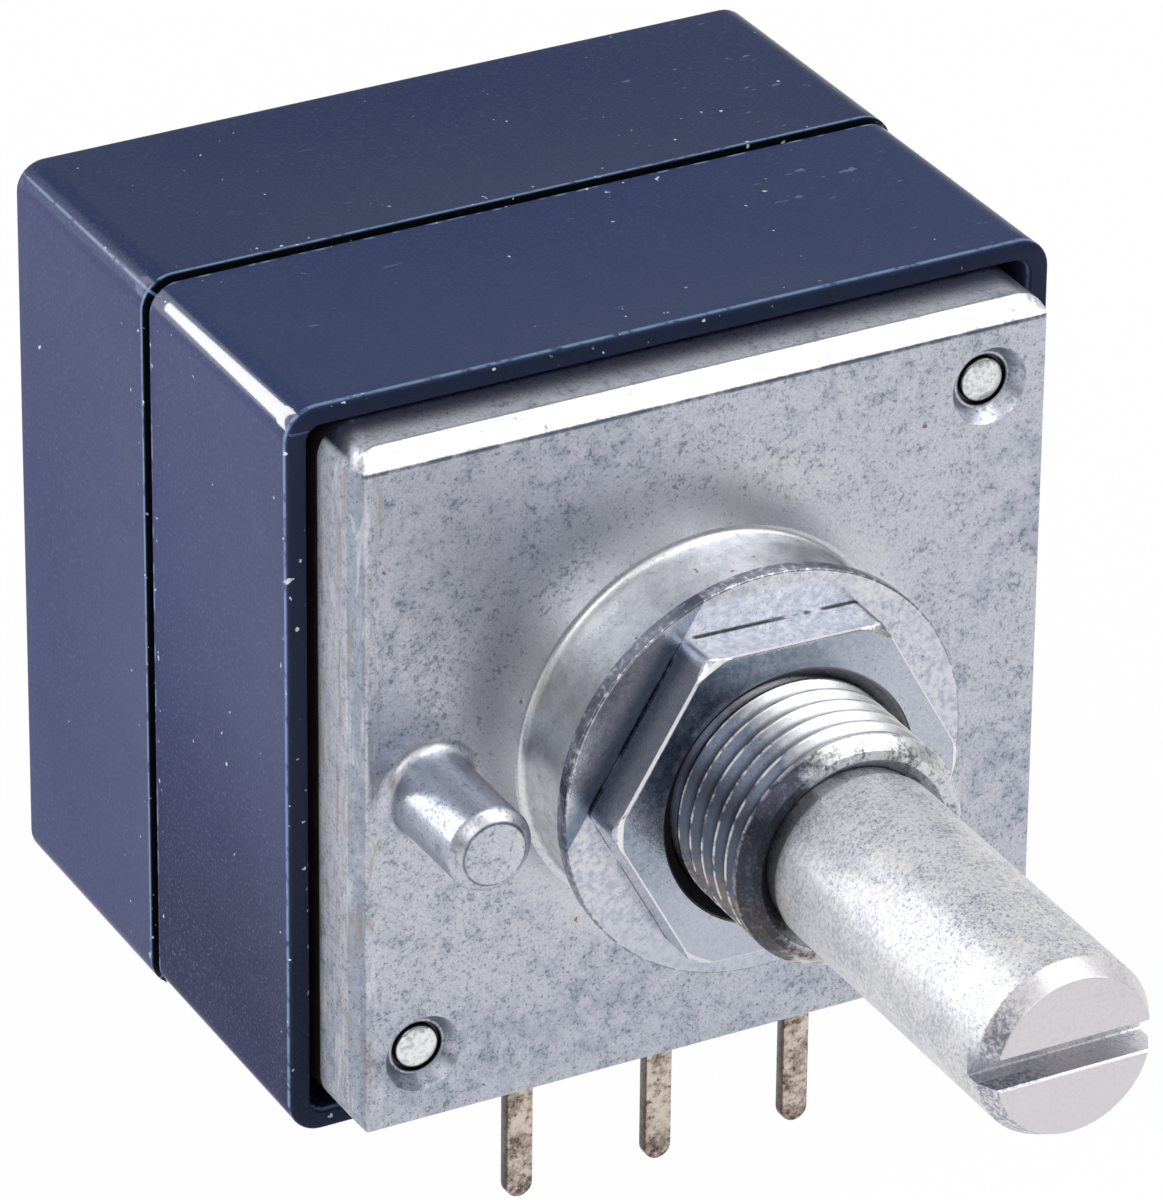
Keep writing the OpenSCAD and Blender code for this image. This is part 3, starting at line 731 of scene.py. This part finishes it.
# copies of a piece's own mesh in columns and rows
def copiesTree():
    tree, given = newTree("copiesInRows", {
        "Geometry": "Geometry", "Columns": "Int", "Rows": "Int",
        "Start": "Vector", "Column Step": "Vector", "Row Step": "Vector", "Material": "Material",
    })
    wire = Wire(tree)
    columns = wire.make("GeometryNodeMeshLine", {}, {
        "Count": given["Columns"], "Start Location": given["Start"], "Offset": given["Column Step"],
    })
    row = wire.make("GeometryNodeMeshLine", {}, {"Count": given["Rows"], "Offset": given["Row Step"]})
    rows = wire.make("GeometryNodeInstanceOnPoints", {}, {"Points": columns, "Instance": row})
    points = wire.make("GeometryNodeRealizeInstances", {}, {"Geometry": rows})
    pieces = {"Points": points, "Instance": given["Geometry"]}
    return endTree(tree, wire.make("GeometryNodeInstanceOnPoints", {}, pieces), given["Material"])


# the bushing's thread: a grid wrapped round the axis, with a helical ridge
def threadTree():
    lengths = ("Crest Radius", "Depth", "Pitch", "Front", "Back", "End Radius", "Chamfer Slope", "Plain End")
    inputs = {title: "Float" for title in lengths}
    inputs.update({"Steps Along": "Int", "Steps Round": "Int", "Material": "Material"})
    tree, given = newTree("helicalThread", inputs)
    wire = Wire(tree)
    grid = wire.make("GeometryNodeMeshGrid", {}, {
        "Size X": 1.0, "Size Y": 1.0, "Vertices X": given["Steps Along"], "Vertices Y": given["Steps Round"],
    })
    spot = wire.make("GeometryNodeInputPosition")
    along, around = axisPart(spot, "X") + 0.5, axisPart(spot, "Y") + 0.5
    y = given["Front"] + along * (given["Back"] - given["Front"])
    turns = y / given["Pitch"] + around
    ridge = 1 - magnitude(turns.maths("FRACT", turns) - 0.5) * 2
    flank = ridge.make("ShaderNodeMapRange", {}, {"Value": ridge, "From Min": 0.08, "From Max": 0.9})
    # the ridge runs out at the front, and a plain collar is left there
    runOut = between(y - given["Front"], 0.2 * mm, 0.9 * mm)
    collar = below(y - given["Front"] - given["Plain End"], 0.0, 0.12 * mm)
    lift = larger(flank * runOut, collar)
    radius = given["Crest Radius"] - given["Depth"] * (1 - lift)
    radius = smaller(radius, given["End Radius"] + (y - given["Front"]) * given["Chamfer Slope"])
    angle = around * (2 * math.pi)
    x, z = radius * angle.maths("COSINE", angle), radius * angle.maths("SINE", angle)
    target = wire.make("ShaderNodeCombineXYZ", {}, {"X": x, "Y": y, "Z": z})
    wrapped = wire.make("GeometryNodeSetPosition", {}, {"Geometry": grid, "Position": target})
    welded = wire.make("GeometryNodeMergeByDistance", {}, {"Geometry": wrapped, "Distance": 1e-6})
    return endTree(tree, welded, given["Material"])


def grownByTree(piece, tree, values):
    step = piece.modifiers.new("tree", "NODES")
    step.node_group = tree
    for socket in tree.interface.items_tree:
        if socket.in_out == "INPUT" and socket.name in values:
            step[socket.identifier] = values[socket.name]
    return applied(piece)


# The two shells
shellSize = {
    "width": 27.0, "height": 25.9, "corner": 1.1, "side": 0.7, "top": 0.65, "insideCorner": 0.55,
    "front": (5.6, 15.49), "rear": (15.71, 25.5), "backWall": 1.0,
    "rimEdge": 0.14, "seamEdge": 0.06, "backEdge": 0.3, "sag": 0.18, "draft": 0.12,
    "notchWidth": 1.15, "notchDepth": (0.85, 0.65),
}


def outline(width, height, corner, sideSteps=16, cornerSteps=8):
    # points with the outward direction there and how near they are to a side's middle
    halfW, halfH = width / 2 - corner, height / 2 - corner
    corners = [(halfW, halfH), (-halfW, halfH), (-halfW, -halfH), (halfW, -halfH)]
    points = []
    for k, (cx, cz) in enumerate(corners):
        for i in range(cornerSteps + 1):
            a = math.radians(90 * k + 90 * i / cornerSteps)
            points.append((cx + corner * math.cos(a), cz + corner * math.sin(a), math.cos(a), math.sin(a), 0))
        nextX, nextZ = corners[(k + 1) % 4]
        for i in range(1, sideSteps):
            t = i / sideSteps
            x = cx + (nextX - cx) * t + corner * math.cos(a)
            z = cz + (nextZ - cz) * t + corner * math.sin(a)
            points.append((x, z, math.cos(a), math.sin(a), 1 - (2 * t - 1) ** 2))
    return points


def outlineRing(points, y, inset=0.0, sag=0.0):
    return [(x - nx * (inset + sag * mid), y, z - nz * (inset + sag * mid)) for x, z, nx, nz, mid in points]


def shellWall(size, y0, y1, edge0, edge1, draft, steps=12):
    # the outside of a shell from y0 to y1, with its round edges
    points = outline(size["width"], size["height"], size["corner"])
    rings = []
    for a in (90, 67.5, 45, 22.5, 0):
        inset = edge0 * (1 - math.cos(math.radians(a)))
        rings.append(outlineRing(points, y0 + edge0 * (1 - math.sin(math.radians(a))), inset))
    for k in range(1, steps):
        t = k / steps
        swell = 1 - (2 * t - 1) ** 2
        y = y0 + edge0 + (y1 - y0 - edge0 - edge1) * t
        rings.append(outlineRing(points, y, draft * t, size["sag"] * swell))
    for a in (0, 22.5, 45, 67.5, 90):
        inset = draft + edge1 * (1 - math.cos(math.radians(a)))
        rings.append(outlineRing(points, y1 - edge1 * (1 - math.sin(math.radians(a))), inset))
    return rings


def notchCutters(size, y0, depth):
    half = size["notchWidth"] / 2
    low = -size["height"] / 2 - 0.5
    high = low + size["top"] + 0.9
    middles = (-pinPitch, 0, pinPitch)
    return [boxMesh((x - half, y0 - 0.5, low), (x + half, y0 + depth, high)) for x in middles]


def makeShells(size):
    insideWidth, insideHeight = size["width"] - 2 * size["side"], size["height"] - 2 * size["top"]
    inside = outline(insideWidth, insideHeight, size["insideCorner"])
    # the front shell is a tube
    y0, y1 = size["front"]
    rings = shellWall(size, y0, y1, size["rimEdge"], size["seamEdge"], size["draft"])
    for y, inset in ((y1, -0.06), (y1 - 0.06, 0), (y0 + 0.08, 0), (y0, -0.08)):
        rings.append(outlineRing(inside, y, inset))
    front = objectFromMeshes("frontShellMoulding", [meshFromRings(rings, closed=True)])
    cutAway(front, notchCutters(size, y0, size["notchDepth"][0]))
    dress(smoothed(front), moulding, "casing", "blue_moulding", "front_shell")
    # the rear shell is a cup
    y0, y1 = size["rear"]
    wall = shellWall(size, y0, y1, size["seamEdge"], size["backEdge"], size["draft"])
    points = outline(size["width"], size["height"], size["corner"])
    back = [outlineRing(points, y1, size["draft"] + size["backEdge"] + 0.05), [(0, y1, 0)]]
    floorY = y1 - size["backWall"]
    pocket = [[(0, floorY, 0)]]
    for y, inset in ((floorY, 0), (y0 + 0.06, 0), (y0, -0.06)):
        pocket.append(outlineRing(inside, y, inset))
    rear = objectFromMeshes("rearShellMoulding", [meshFromRings(pocket + wall + back)])
    cutAway(rear, notchCutters(size, y0, size["notchDepth"][1]))
    dress(smoothed(rear), moulding, "casing", "blue_moulding", "rear_shell")


makeShells(shellSize)
print("shells made")


# The zinc casting: plate, boss, plain core of the bushing and locating lug
castingSize = {
    "width": 24.7, "height": 24.4, "corner": 1.15, "front": 3.2, "back": 5.8,
    "bevel": 0.62, "sideShare": 0.55, "lowShare": 0.5,  # the bevel's share at the sides and along the bottom
    "bossRadius": 6.3, "footRadius": 6.5, "fillet": 0.3, "coreRadius": 3.5, "endRadius": 3.6,
    "boreRadius": 2.88, "mouthRadius": 3.28, "bushingLength": 6.3, "recessRadius": 4.6,
    "web": 5.0, "webInner": 4.75, "webOuter": 7.3,
    "lugRadius": 1.45, "lugLength": 1.2, "lugChamfer": 0.35, "lugFillet": 0.4,
}


def filletPoints(radius, fillet, y, steps=8):
    # a hollow fillet from the plate's face up to a post of this radius
    turns = [math.radians(90 * k / steps) for k in range(steps + 1)]
    return [(radius + fillet * (1 - math.sin(a)), y - fillet * (1 - math.cos(a))) for a in turns]


def makeCasting(size):
    points = outline(size["width"], size["height"], size["corner"], 12, 12)
    face, bevel = size["front"], size["bevel"]
    rings = []
    edge = [(0, size["back"]), (0, face + bevel, 0.08), (bevel, face, 0.16), (bevel + 0.3, face)]
    for inset, y in softened(edge):
        # the bevel is widest along the top edge
        side = size["width"] / 2 - inset * size["sideShare"]
        top, low = size["height"] / 2 - inset, inset * size["lowShare"] - size["height"] / 2
        rings.append([(max(-side, min(side, p[0])), y, max(low, min(top, p[1]))) for p in points])
    plate = objectFromMeshes("plate", [meshFromRings(rings)])
    # countersinks of the rivets, and the recess behind the boss
    start, end, recess = face - 1, size["back"] + 1, size["recessRadius"]
    seat = [(0, start), (1.34, start), (1.34, face), (1.26, face + 0.07), (0.975, face + 0.5)]
    seat += [(0.875, face + 0.5), (0.875, face + 0.7), (0.7, face + 0.7), (0.7, end), (0, end)]
    hole = [(0, start), (recess, start), (recess, end), (0, end)]
    cutters = [meshFromRings(turnedRings(seat, place, 64)) for place in rivetPlaces]
    cutAway(plate, cutters + [meshFromRings(turnedRings(hole))])
    platePart = bmesh.new()
    platePart.from_mesh(plate.data)
    bpy.data.objects.remove(plate)

    # boss and core of the bushing, one turned profile round the bore
    foot = filletPoints(size["footRadius"], size["fillet"], face)
    front, core, bore = -size["bushingLength"], size["coreRadius"], size["boreRadius"]
    webInner, webOuter = size["webInner"], size["webOuter"]
    profile = [(webInner, size["web"]), (webInner, face + 0.2), (webOuter, face + 0.2)] + foot
    profile += [(size["bossRadius"], 0, 0.1), (core, 0), (core, front + 0.1)]
    profile += [(size["endRadius"], front), (size["mouthRadius"], front, 0.03)]
    profile += [(bore, front + 0.4), (bore, size["web"])]
    boss = meshFromRings(turnedRings(profile), closed=True)

    lugFoot = filletPoints(size["lugRadius"], size["lugFillet"], face)
    reach = -size["lugLength"]
    profile = [(0, face + 0.2), (size["lugRadius"] + 0.6, face + 0.2)] + lugFoot
    profile += [(size["lugRadius"], reach + size["lugChamfer"], 0.1)]
    profile += [(size["lugRadius"] - size["lugChamfer"], reach, 0.12), (0, reach)]
    lug = meshFromRings(turnedRings(profile, lugPlace, 64))
    casting = objectFromMeshes("frontPlateCasting", [platePart, boss, lug])
    dress(smoothed(casting), zinc, "casing", "zinc_casting", "front_plate")


makeCasting(castingSize)

threadSize = {
    "Crest Radius": 4.0 * mm, "Depth": 0.34 * mm, "Pitch": 0.75 * mm,
    "Front": -6.3 * mm, "Back": 0.05 * mm, "Plain End": 0.55 * mm,
    "End Radius": 3.6 * mm, "Chamfer Slope": 1.0,
    "Steps Along": 170, "Steps Round": 145, "Material": zinc,
}
thread = grownByTree(objectFromMeshes("bushingThread", []), threadTree(), threadSize)
dress(smoothed(thread, 60), zinc, "casing", "zinc_casting")
print("casting and thread made")


# Nut and washer
nutSize = {
    "flats": 10.8, "front": -2.2, "back": -0.55, "bore": 4.02, "sink": 4.47, "sinkDepth": 0.45,
    "chamfer": 0.25, "turn": -1.5, "edge": 0.08,
}
washerSize = {"bore": 4.02, "outer": 7.05, "thickness": 0.55}


def makeNut(size, steps=240):
    turns = [2 * math.pi * k / steps + math.radians(size["turn"]) for k in range(steps)]
    cornerR = size["flats"] / 2 / math.cos(math.pi / 6)

    def hexRadius(a):
        # corners are slightly blunted
        off = (math.degrees(a) - size["turn"]) % 60 - 30
        return min(size["flats"] / 2 / math.cos(math.radians(off)), cornerR - 0.05)

    def ring(y, radiusAt):
        return [(radiusAt(a) * math.cos(a), y, radiusAt(a) * math.sin(a)) for a in turns]

    def cone(depth):
        # the turned chamfer that cuts the corners in front
        return cornerR - 1.5 * size["chamfer"] + 1.5 * depth

    front, edge = size["front"], size["edge"]
    rings = [
        ring(size["back"], lambda a: size["bore"]),
        ring(front + size["sinkDepth"], lambda a: size["bore"]),
        ring(front, lambda a: size["sink"]),
        ring(front, lambda a: min(hexRadius(a) - edge, cone(0)) - 0.04),
        ring(front, lambda a: min(hexRadius(a) - edge, cone(0))),
        ring(front + edge * 0.3, lambda a: min(hexRadius(a) - edge * 0.3, cone(edge * 0.3))),
    ]
    for depth in (edge, 0.1, 0.15, 0.2, 0.25, 0.3):
        rings.append(ring(front + depth, lambda a: min(hexRadius(a), cone(depth))))
    rings.append(ring(size["back"] - 0.05, hexRadius))
    rings.append(ring(size["back"], lambda a: hexRadius(a) - 0.05))
    return meshFromRings(rings, closed=True)


nut = objectFromMeshes("mountingNutHex", [makeNut(nutSize)])
dress(smoothed(nut), plated, "casing", "plated_steel", "mounting_nut")
bore, outer, thickness = (washerSize[key] for key in ("bore", "outer", "thickness"))
washerProfile = [(bore, 0), (outer, 0, 0.08), (outer, -thickness, 0.1), (bore, -thickness)]
washer = objectFromMeshes("mountingWasherRing", [meshFromRings(turnedRings(washerProfile), closed=True)])
dress(smoothed(washer), plated, "casing", "plated_steel", "mounting_washer")


# Shaft with its slot, tail and journal
shaftSize = {
    "radius": 3.0, "front": -19.5, "chamfer": (0.38, 0.7), "slotWidth": 1.0, "slotDepth": 1.2,
    "journal": 2.85, "journalFront": -6.6, "groove": (2.55, 5.58, 6.22),
    "tail": 2.0, "tailFront": 7.0, "flat": 1.6, "end": (1.5, 22.3, 24.2),
}


def makeShaft(size):
    r, front = size["radius"], size["front"]
    cut, length = size["chamfer"]
    journal, start = size["journal"], size["journalFront"]
    grooveR, groove0, groove1 = size["groove"]
    tail, tail0 = size["tail"], size["tailFront"]
    endR, end0, end1 = size["end"]
    profile = [(0, front), (r - cut, front, 0.03), (r, front + length, 0.05), (r, start, 0.05)]
    profile += [(journal, start), (journal, groove0), (grooveR, groove0), (grooveR, groove1)]
    profile += [(journal, groove1), (journal, tail0), (tail, tail0), (tail, end0)]
    profile += [(endR, end0), (endR, end1), (0, end1)]
    shaft = objectFromMeshes("controlShaftTurned", [meshFromRings(turnedRings(profile))])
    half, end = size["slotWidth"] / 2, front + size["slotDepth"]
    # the slot's section, slightly open at its mouth
    section = [(half + 0.2, front - 0.12), (half, front + 0.06), (half, end - 0.05), (half - 0.05, end)]
    section = section + [(-z, y) for z, y in reversed(section)]
    slot = meshFromRings([[(x, y, z) for z, y in section] for x in (-3.6, 3.6)])
    flats = [boxMesh((low, tail0, -3), (low + 2, end0, 3)) for low in (size["flat"], -size["flat"] - 2)]
    cutAway(shaft, [slot] + flats)
    dress(smoothed(shaft, 20), shaftSteel, "shaft", "shaft_metal", "control_shaft")


makeShaft(shaftSize)
print("nut, washer and shaft made")


# Rivets and terminals: one of each is modelled, the tree puts the copies in their places
copies = copiesTree()
rivetProfile = [
    (0, 3.62), (0.38, 3.60), (0.775, 3.68, 0.12), (0.775, 3.9), (0.65, 3.9), (0.65, 25.5),
    (1.5, 25.5), (1.5, 25.72, 0.12), (1.05, 26.12, 0.3), (0.45, 26.2, 0.2), (0, 26.2),
]
rivets = objectFromMeshes("throughRivets", [meshFromRings(turnedRings(rivetProfile, (0, 0), 48))])
(firstX, firstZ), (secondX, secondZ) = rivetPlaces
rivets = grownByTree(rivets, copies, {
    "Columns": 2, "Rows": 1, "Start": (firstX * mm, 0, firstZ * mm), "Row Step": (0, 0, 0),
    "Column Step": ((secondX - firstX) * mm, 0, (secondZ - firstZ) * mm), "Material": rivetMetal,
})
dress(smoothed(rivets, 40), rivetMetal, "casing", "rivet_metal", "through_rivets")

pinSize = {
    "width": 0.95, "thickness": 0.5, "front": 5.9, "edge": 0.07,
    "tip": -17.8, "straight": (-16.5, -11.5), "eyelet": -10.3, "pad": 0.9,
}


def pinRing(size, z, half, pinch=0.0):
    # the section of a terminal: a flat strip with slightly rounded edges
    y0, y1 = size["front"] + pinch, size["front"] + size["thickness"] - pinch
    e = min(size["edge"], half * 0.5)
    corners = [(half, y0, 1, -1), (half, y1, 1, 1), (-half, y1, -1, 1), (-half, y0, -1, -1)]
    ring = []
    for k, (x, y, sx, sy) in enumerate(corners):
        a, b, m = (x - sx * e, y, z), (x, y - sy * e, z), (x - sx * e * 0.3, y - sy * e * 0.3, z)
        ring += [a, m, b] if k % 2 == 0 else [b, m, a]
    return ring


def makePin(size):
    half, tipZ, eye = size["width"] / 2, size["tip"], size["eyelet"]
    rings = []
    # the round tip
    for a in (4, 15, 30, 45, 60, 75, 90):
        t = math.radians(a)
        z, pinch = tipZ + half * (1 - math.cos(t)), 0.06 * (1 - math.sin(t))
        rings.append(pinRing(size, z, half * math.sin(t), pinch))
    low, high = size["straight"]
    for k in range(6):
        rings.append(pinRing(size, low + (high - low) * k / 5, half))
    # the round pad at the top
    for k in range(9):
        t = -0.74 + k * 0.2
        across = max(half, math.sqrt(size["pad"] ** 2 - t ** 2)) if abs(t) < size["pad"] else 0.1
        rings.append(pinRing(size, eye + t, across))
    return meshFromRings(rings)


pins = objectFromMeshes("terminalPins", [makePin(pinSize)])
pins = grownByTree(pins, copies, {
    "Columns": 3, "Rows": 2, "Start": (-pinPitch * mm, 0, 0), "Column Step": (pinPitch * mm, 0, 0),
    "Row Step": (0, gangPitch * mm, 0), "Material": pinMetal,
})
pinNodes = [row + "_terminal_" + side for row in ("front", "rear") for side in ("left", "middle", "right")]
dress(smoothed(pins, 50), pinMetal, "casing", "terminal_metal", *pinNodes)
print("rivets and terminals made")


# Nodes that keep their mesh: the sheet between the shells and what is sealed inside
innerNodes = {
    "divider_sheet": "black_sheet", "retaining_clip": "clip_steel", "friction_washer": "spring_bronze",
    "front_element_board": "board_laminate", "rear_element_board": "board_laminate",
    "front_resistive_track": "carbon_film", "rear_resistive_track": "carbon_film",
    "front_collector_ring": "silver_film", "rear_collector_ring": "silver_film",
    "front_terminal_eyelets": "silver_film", "rear_terminal_eyelets": "silver_film",
    "front_rotor": "rotor_moulding", "rear_rotor": "rotor_moulding",
    "front_wiper": "spring_bronze", "rear_wiper": "spring_bronze",
}
for nodeName, finish in innerNodes.items():
    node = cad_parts[nodeName]
    for place in range(len(node.material_slots)):
        node.material_slots[place].material = inner[finish]
print("inner pieces dressed:", len(innerNodes))


# Camera at the photograph's angle, no shift
cameraView = {
    "azimuth": -28.331, "elevation": 28.725, "roll": 0.583,
    "distance": 288.381, "lens": 275.91, "target": (-3.214, 5.6, 3.954),
}


def makeCamera(view):
    a, e, roll = (math.radians(view[key]) for key in ("azimuth", "elevation", "roll"))
    back = Vector((math.sin(a) * math.cos(e), -math.cos(a) * math.cos(e), math.sin(e)))
    right = Vector((math.cos(a), math.sin(a), 0))
    up = back.cross(right)
    cameraX = right * math.cos(roll) + up * math.sin(roll)
    cameraY = up * math.cos(roll) - right * math.sin(roll)
    data = bpy.data.cameras.new("photoCamera")
    data.sensor_width = 36
    data.lens = view["lens"]
    data.clip_start = 0.01
    data.clip_end = 10
    camera = bpy.data.objects.new("photoCamera", data)
    bpy.context.scene.collection.objects.link(camera)
    turn = Matrix((cameraX, cameraY, back)).transposed().to_4x4()
    camera.matrix_world = Matrix.Translation((Vector(view["target"]) + back * view["distance"]) * mm) @ turn
    bpy.context.scene.camera = camera


makeCamera(cameraView)

# Studio: pale floor and soft lamps aimed at the object
def lamp(direction, size, radiance, kind, along=(0, 0, 1)):
    # size in metres, radiance 1 is about white, along is the direction of the lamp's second side
    return {"direction": direction, "size": size, "radiance": radiance, "kind": kind, "along": along}


lampSetup = {
    "overhead": lamp((0.42, -0.36, 0.78), (0.30, 0.55), 1.8, "key"),
    "leftFill": lamp((-0.98, -0.10, 0.30), (0.30, 0.30), 3.9, "fill"),
    "frontSheen": lamp((-0.42, -0.75, 0.52), (0.22, 0.20), 1.6, "sheen"),
    "edgeBand": lamp((-0.545, 0.772, 0.326), (0.07, 0.36), 7.0, "sheen", (0.22, 0, 0.37)),
}
lampDistance = 0.45
# what metal and gloss see: a white backdrop behind, a dim room in front near the horizon, a pale ceiling
worldLook = {
    "backdrop": 1.0, "room": 0.10, "ceiling": 0.88, "diffuse": 0.42,
    "turn": (-0.30, 0.40), "rise": (0.05, 0.45),
}
floorLook = {"z": -17.8, "half": 1.5, "glow": 0.985, "paint": colour(0.9, 0.9, 0.9)}
white = colour(1, 1, 1)


def makeLamps(lamps):
    centre = Vector((0, 5, 0)) * mm
    for name, given in lamps.items():
        data = bpy.data.lights.new(name, "AREA")
        data.shape = "RECTANGLE"
        data.size, data.size_y = given["size"]
        data.energy = given["radiance"] * math.pi * data.size * data.size_y
        light = bpy.data.objects.new(name, data)
        bpy.context.scene.collection.objects.link(light)
        away = Vector(given["direction"]).normalized()
        along = Vector(given["along"])
        up = (along - away * along.dot(away)).normalized()
        turn = Matrix((up.cross(away), up, away)).transposed().to_4x4()
        light.matrix_world = Matrix.Translation(centre + away * lampDistance) @ turn
        # a fill only lights, a sheen is only mirrored
        light.visible_glossy = given["kind"] != "fill"
        light.visible_diffuse = given["kind"] != "sheen"


def seenDirectly(wire):
    # 1 for camera rays, and 1 for glossy and transmission rays
    path = wire.tree.nodes.new("ShaderNodeLightPath")
    names = ("Is Camera Ray", "Is Glossy Ray", "Is Transmission Ray")
    camera, glossy, through = (Wire(wire.tree, path.outputs[name]) for name in names)
    return camera, larger(glossy, through)


def makeWorld(look):
    world = bpy.data.worlds.new("studio")
    world.use_nodes = True
    tree = world.node_tree
    tree.nodes.clear()
    wire = Wire(tree)
    camera, glossy = seenDirectly(wire)
    direction = wire.make("ShaderNodeTexCoord", out="Generated")
    height = between(axisPart(direction, "Z"), *look["rise"])
    behind = between(axisPart(direction, "Y"), *look["turn"])
    around = look["room"] + behind * (look["backdrop"] - look["room"])
    mirrored = around + height * (look["ceiling"] - around)
    strength = look["diffuse"] + glossy * (mirrored - look["diffuse"])
    strength = strength + camera * (1 - strength)
    background = wire.make("ShaderNodeBackground", {}, {"Color": white, "Strength": strength})
    output = tree.nodes.new("ShaderNodeOutputWorld")
    tree.links.new(background.socket, output.inputs["Surface"])
    bpy.context.scene.world = world


def makeFloor(look):
    mesh = bmesh.new()
    bmesh.ops.create_grid(mesh, x_segments=8, y_segments=8, size=look["half"] / mm)
    for vertex in mesh.verts:
        vertex.co.z = look["z"]
        vertex.co *= mm
    floor = objectFromMeshes("studioFloor", [mesh])
    material, wire = newMaterial("paleFloor")
    camera, glossy = seenDirectly(wire)
    paint = wire.make("ShaderNodeBsdfDiffuse", {}, {"Color": look["paint"]})
    glow = wire.make("ShaderNodeEmission", {}, {"Color": white, "Strength": 1.0})
    share = larger(camera, glossy) * look["glow"]
    surfaceOutput(wire, wire.make("ShaderNodeMixShader", {}, {0: share, 1: paint, 2: glow}))
    floor.data.materials.append(material)


makeLamps(lampSetup)
makeWorld(worldLook)
makeFloor(floorLook)
bpy.context.scene.view_settings.view_transform = "Standard"
print("camera, lamps, world and floor made")
